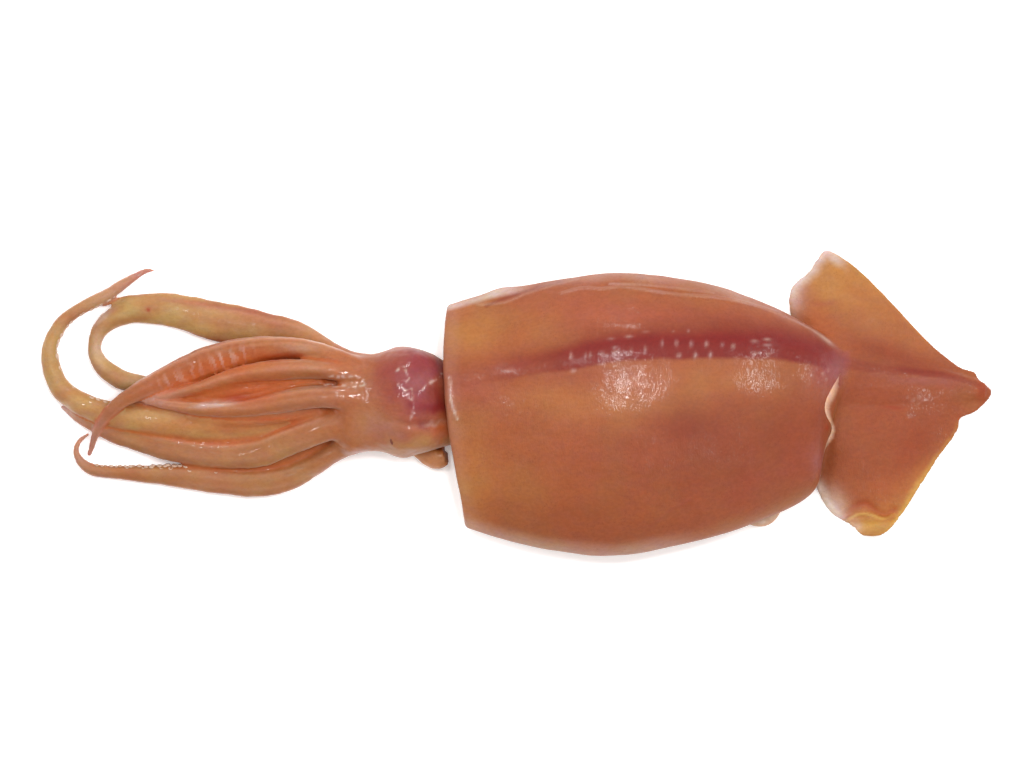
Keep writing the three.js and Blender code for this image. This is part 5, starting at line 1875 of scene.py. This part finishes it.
def build_lamps():
    """The oval lamps, each as bright as its table row says whatever its size."""
    for number, (place, aim, width, long, brightness) in enumerate(LAMPS):
        lamp = bpy.data.lights.new(f"lamp_{number}", "AREA")
        lamp.shape = "ELLIPSE"
        lamp.size = width * MM
        lamp.size_y = long * MM
        lamp.energy = brightness * math.pi * (math.pi / 4 * lamp.size * lamp.size_y)
        light = bpy.data.objects.new(lamp.name, lamp)
        light.location = Vector(place) * MM
        light.rotation_euler = (Vector((*aim, 0)) - Vector(place)).to_track_quat("-Z", "Y").to_euler()
        light.visible_camera = False
        bpy.context.scene.collection.objects.link(light)


def build_camera():
    """The camera, straight above and far off."""
    scene = bpy.context.scene
    view = bpy.data.cameras.new("camera")
    view.lens = CAMERA_LENS
    view.sensor_width = CAMERA_SENSOR
    view.clip_end = CAMERA_REACH
    camera = bpy.data.objects.new("camera", view)
    x, y, z = CAMERA_CENTRE
    camera.location = Vector((x, y, z + CAMERA_WIDTH * CAMERA_LENS / CAMERA_SENSOR)) * MM
    scene.collection.objects.link(camera)
    scene.camera = camera
    scene.view_settings.view_transform = "Standard"


# ---- add-on --------------------------------------------------------------------------------------------

class SQUID_OT_body(bpy.types.Operator):
    """Build the mantle, tail and fins"""

    bl_idname = "squid.body"
    bl_label = "Mantle and Fins"

    def execute(self, context):
        build_body()
        return {"FINISHED"}


class SQUID_OT_skin_edge(bpy.types.Operator):
    """Build the rolled edge of skin at the mantle's rear end"""

    bl_idname = "squid.skin_edge"
    bl_label = "Rolled Skin"

    def execute(self, context):
        build_skin_edge()
        return {"FINISHED"}


class SQUID_OT_head_and_arms(bpy.types.Operator):
    """Build the head with its ten arms"""

    bl_idname = "squid.head_and_arms"
    bl_label = "Head and Arms"

    def execute(self, context):
        build_head_and_arms()
        return {"FINISHED"}


class SQUID_OT_suckers(bpy.types.Operator):
    """Build the suckers along the arms"""

    bl_idname = "squid.suckers"
    bl_label = "Suckers"

    def execute(self, context):
        build_suckers()
        return {"FINISHED"}


class SQUID_OT_loose_skin(bpy.types.Operator):
    """Build the funnel and the loose scrap of skin"""

    bl_idname = "squid.loose_skin"
    bl_label = "Funnel and Skin Scrap"

    def execute(self, context):
        build_funnel()
        build_scrap()
        return {"FINISHED"}


class SQUID_OT_eyes(bpy.types.Operator):
    """Build the eyes in the finished head"""

    bl_idname = "squid.eyes"
    bl_label = "Eyes"

    def execute(self, context):
        build_eyes()
        return {"FINISHED"}


class SQUID_OT_stage(bpy.types.Operator):
    """Build the table, the light and the camera"""

    bl_idname = "squid.stage"
    bl_label = "Table, Light and Camera"

    def execute(self, context):
        build_table()
        build_room()
        build_lamps()
        build_camera()
        return {"FINISHED"}


OPERATORS = (
    SQUID_OT_body, SQUID_OT_skin_edge, SQUID_OT_head_and_arms, SQUID_OT_suckers, SQUID_OT_loose_skin,
    SQUID_OT_eyes, SQUID_OT_stage,
)


class SQUID_PT_parts(bpy.types.Panel):
    """The squid's pieces and their settings"""

    bl_idname = "SQUID_PT_parts"
    bl_label = "Whole Squid"
    bl_space_type = "VIEW_3D"
    bl_region_type = "UI"
    bl_category = "Squid"

    def draw(self, context):
        for operator in OPERATORS:
            self.layout.operator(operator.bl_idname)
        for group in (context.scene.squid_sizes, context.scene.squid_colours):
            box = self.layout.box()
            for name in group.bl_rna.properties.keys():
                if name not in ("rna_type", "name"):
                    box.prop(group, name)


CLASSES = (SquidSizes, SquidColours, *OPERATORS, SQUID_PT_parts)


def register():
    for item in CLASSES:
        bpy.utils.register_class(item)
    bpy.types.Scene.squid_sizes = bpy.props.PointerProperty(type=SquidSizes)
    bpy.types.Scene.squid_colours = bpy.props.PointerProperty(type=SquidColours)


def unregister():
    del bpy.types.Scene.squid_colours
    del bpy.types.Scene.squid_sizes
    for item in reversed(CLASSES):
        bpy.utils.unregister_class(item)


def main():
    register()
    bpy.ops.squid.body()
    bpy.ops.squid.skin_edge()
    bpy.ops.squid.head_and_arms()
    bpy.ops.squid.suckers()
    bpy.ops.squid.loose_skin()
    bpy.ops.squid.eyes()
    bpy.ops.squid.stage()


if __name__ == "__main__":
    main()
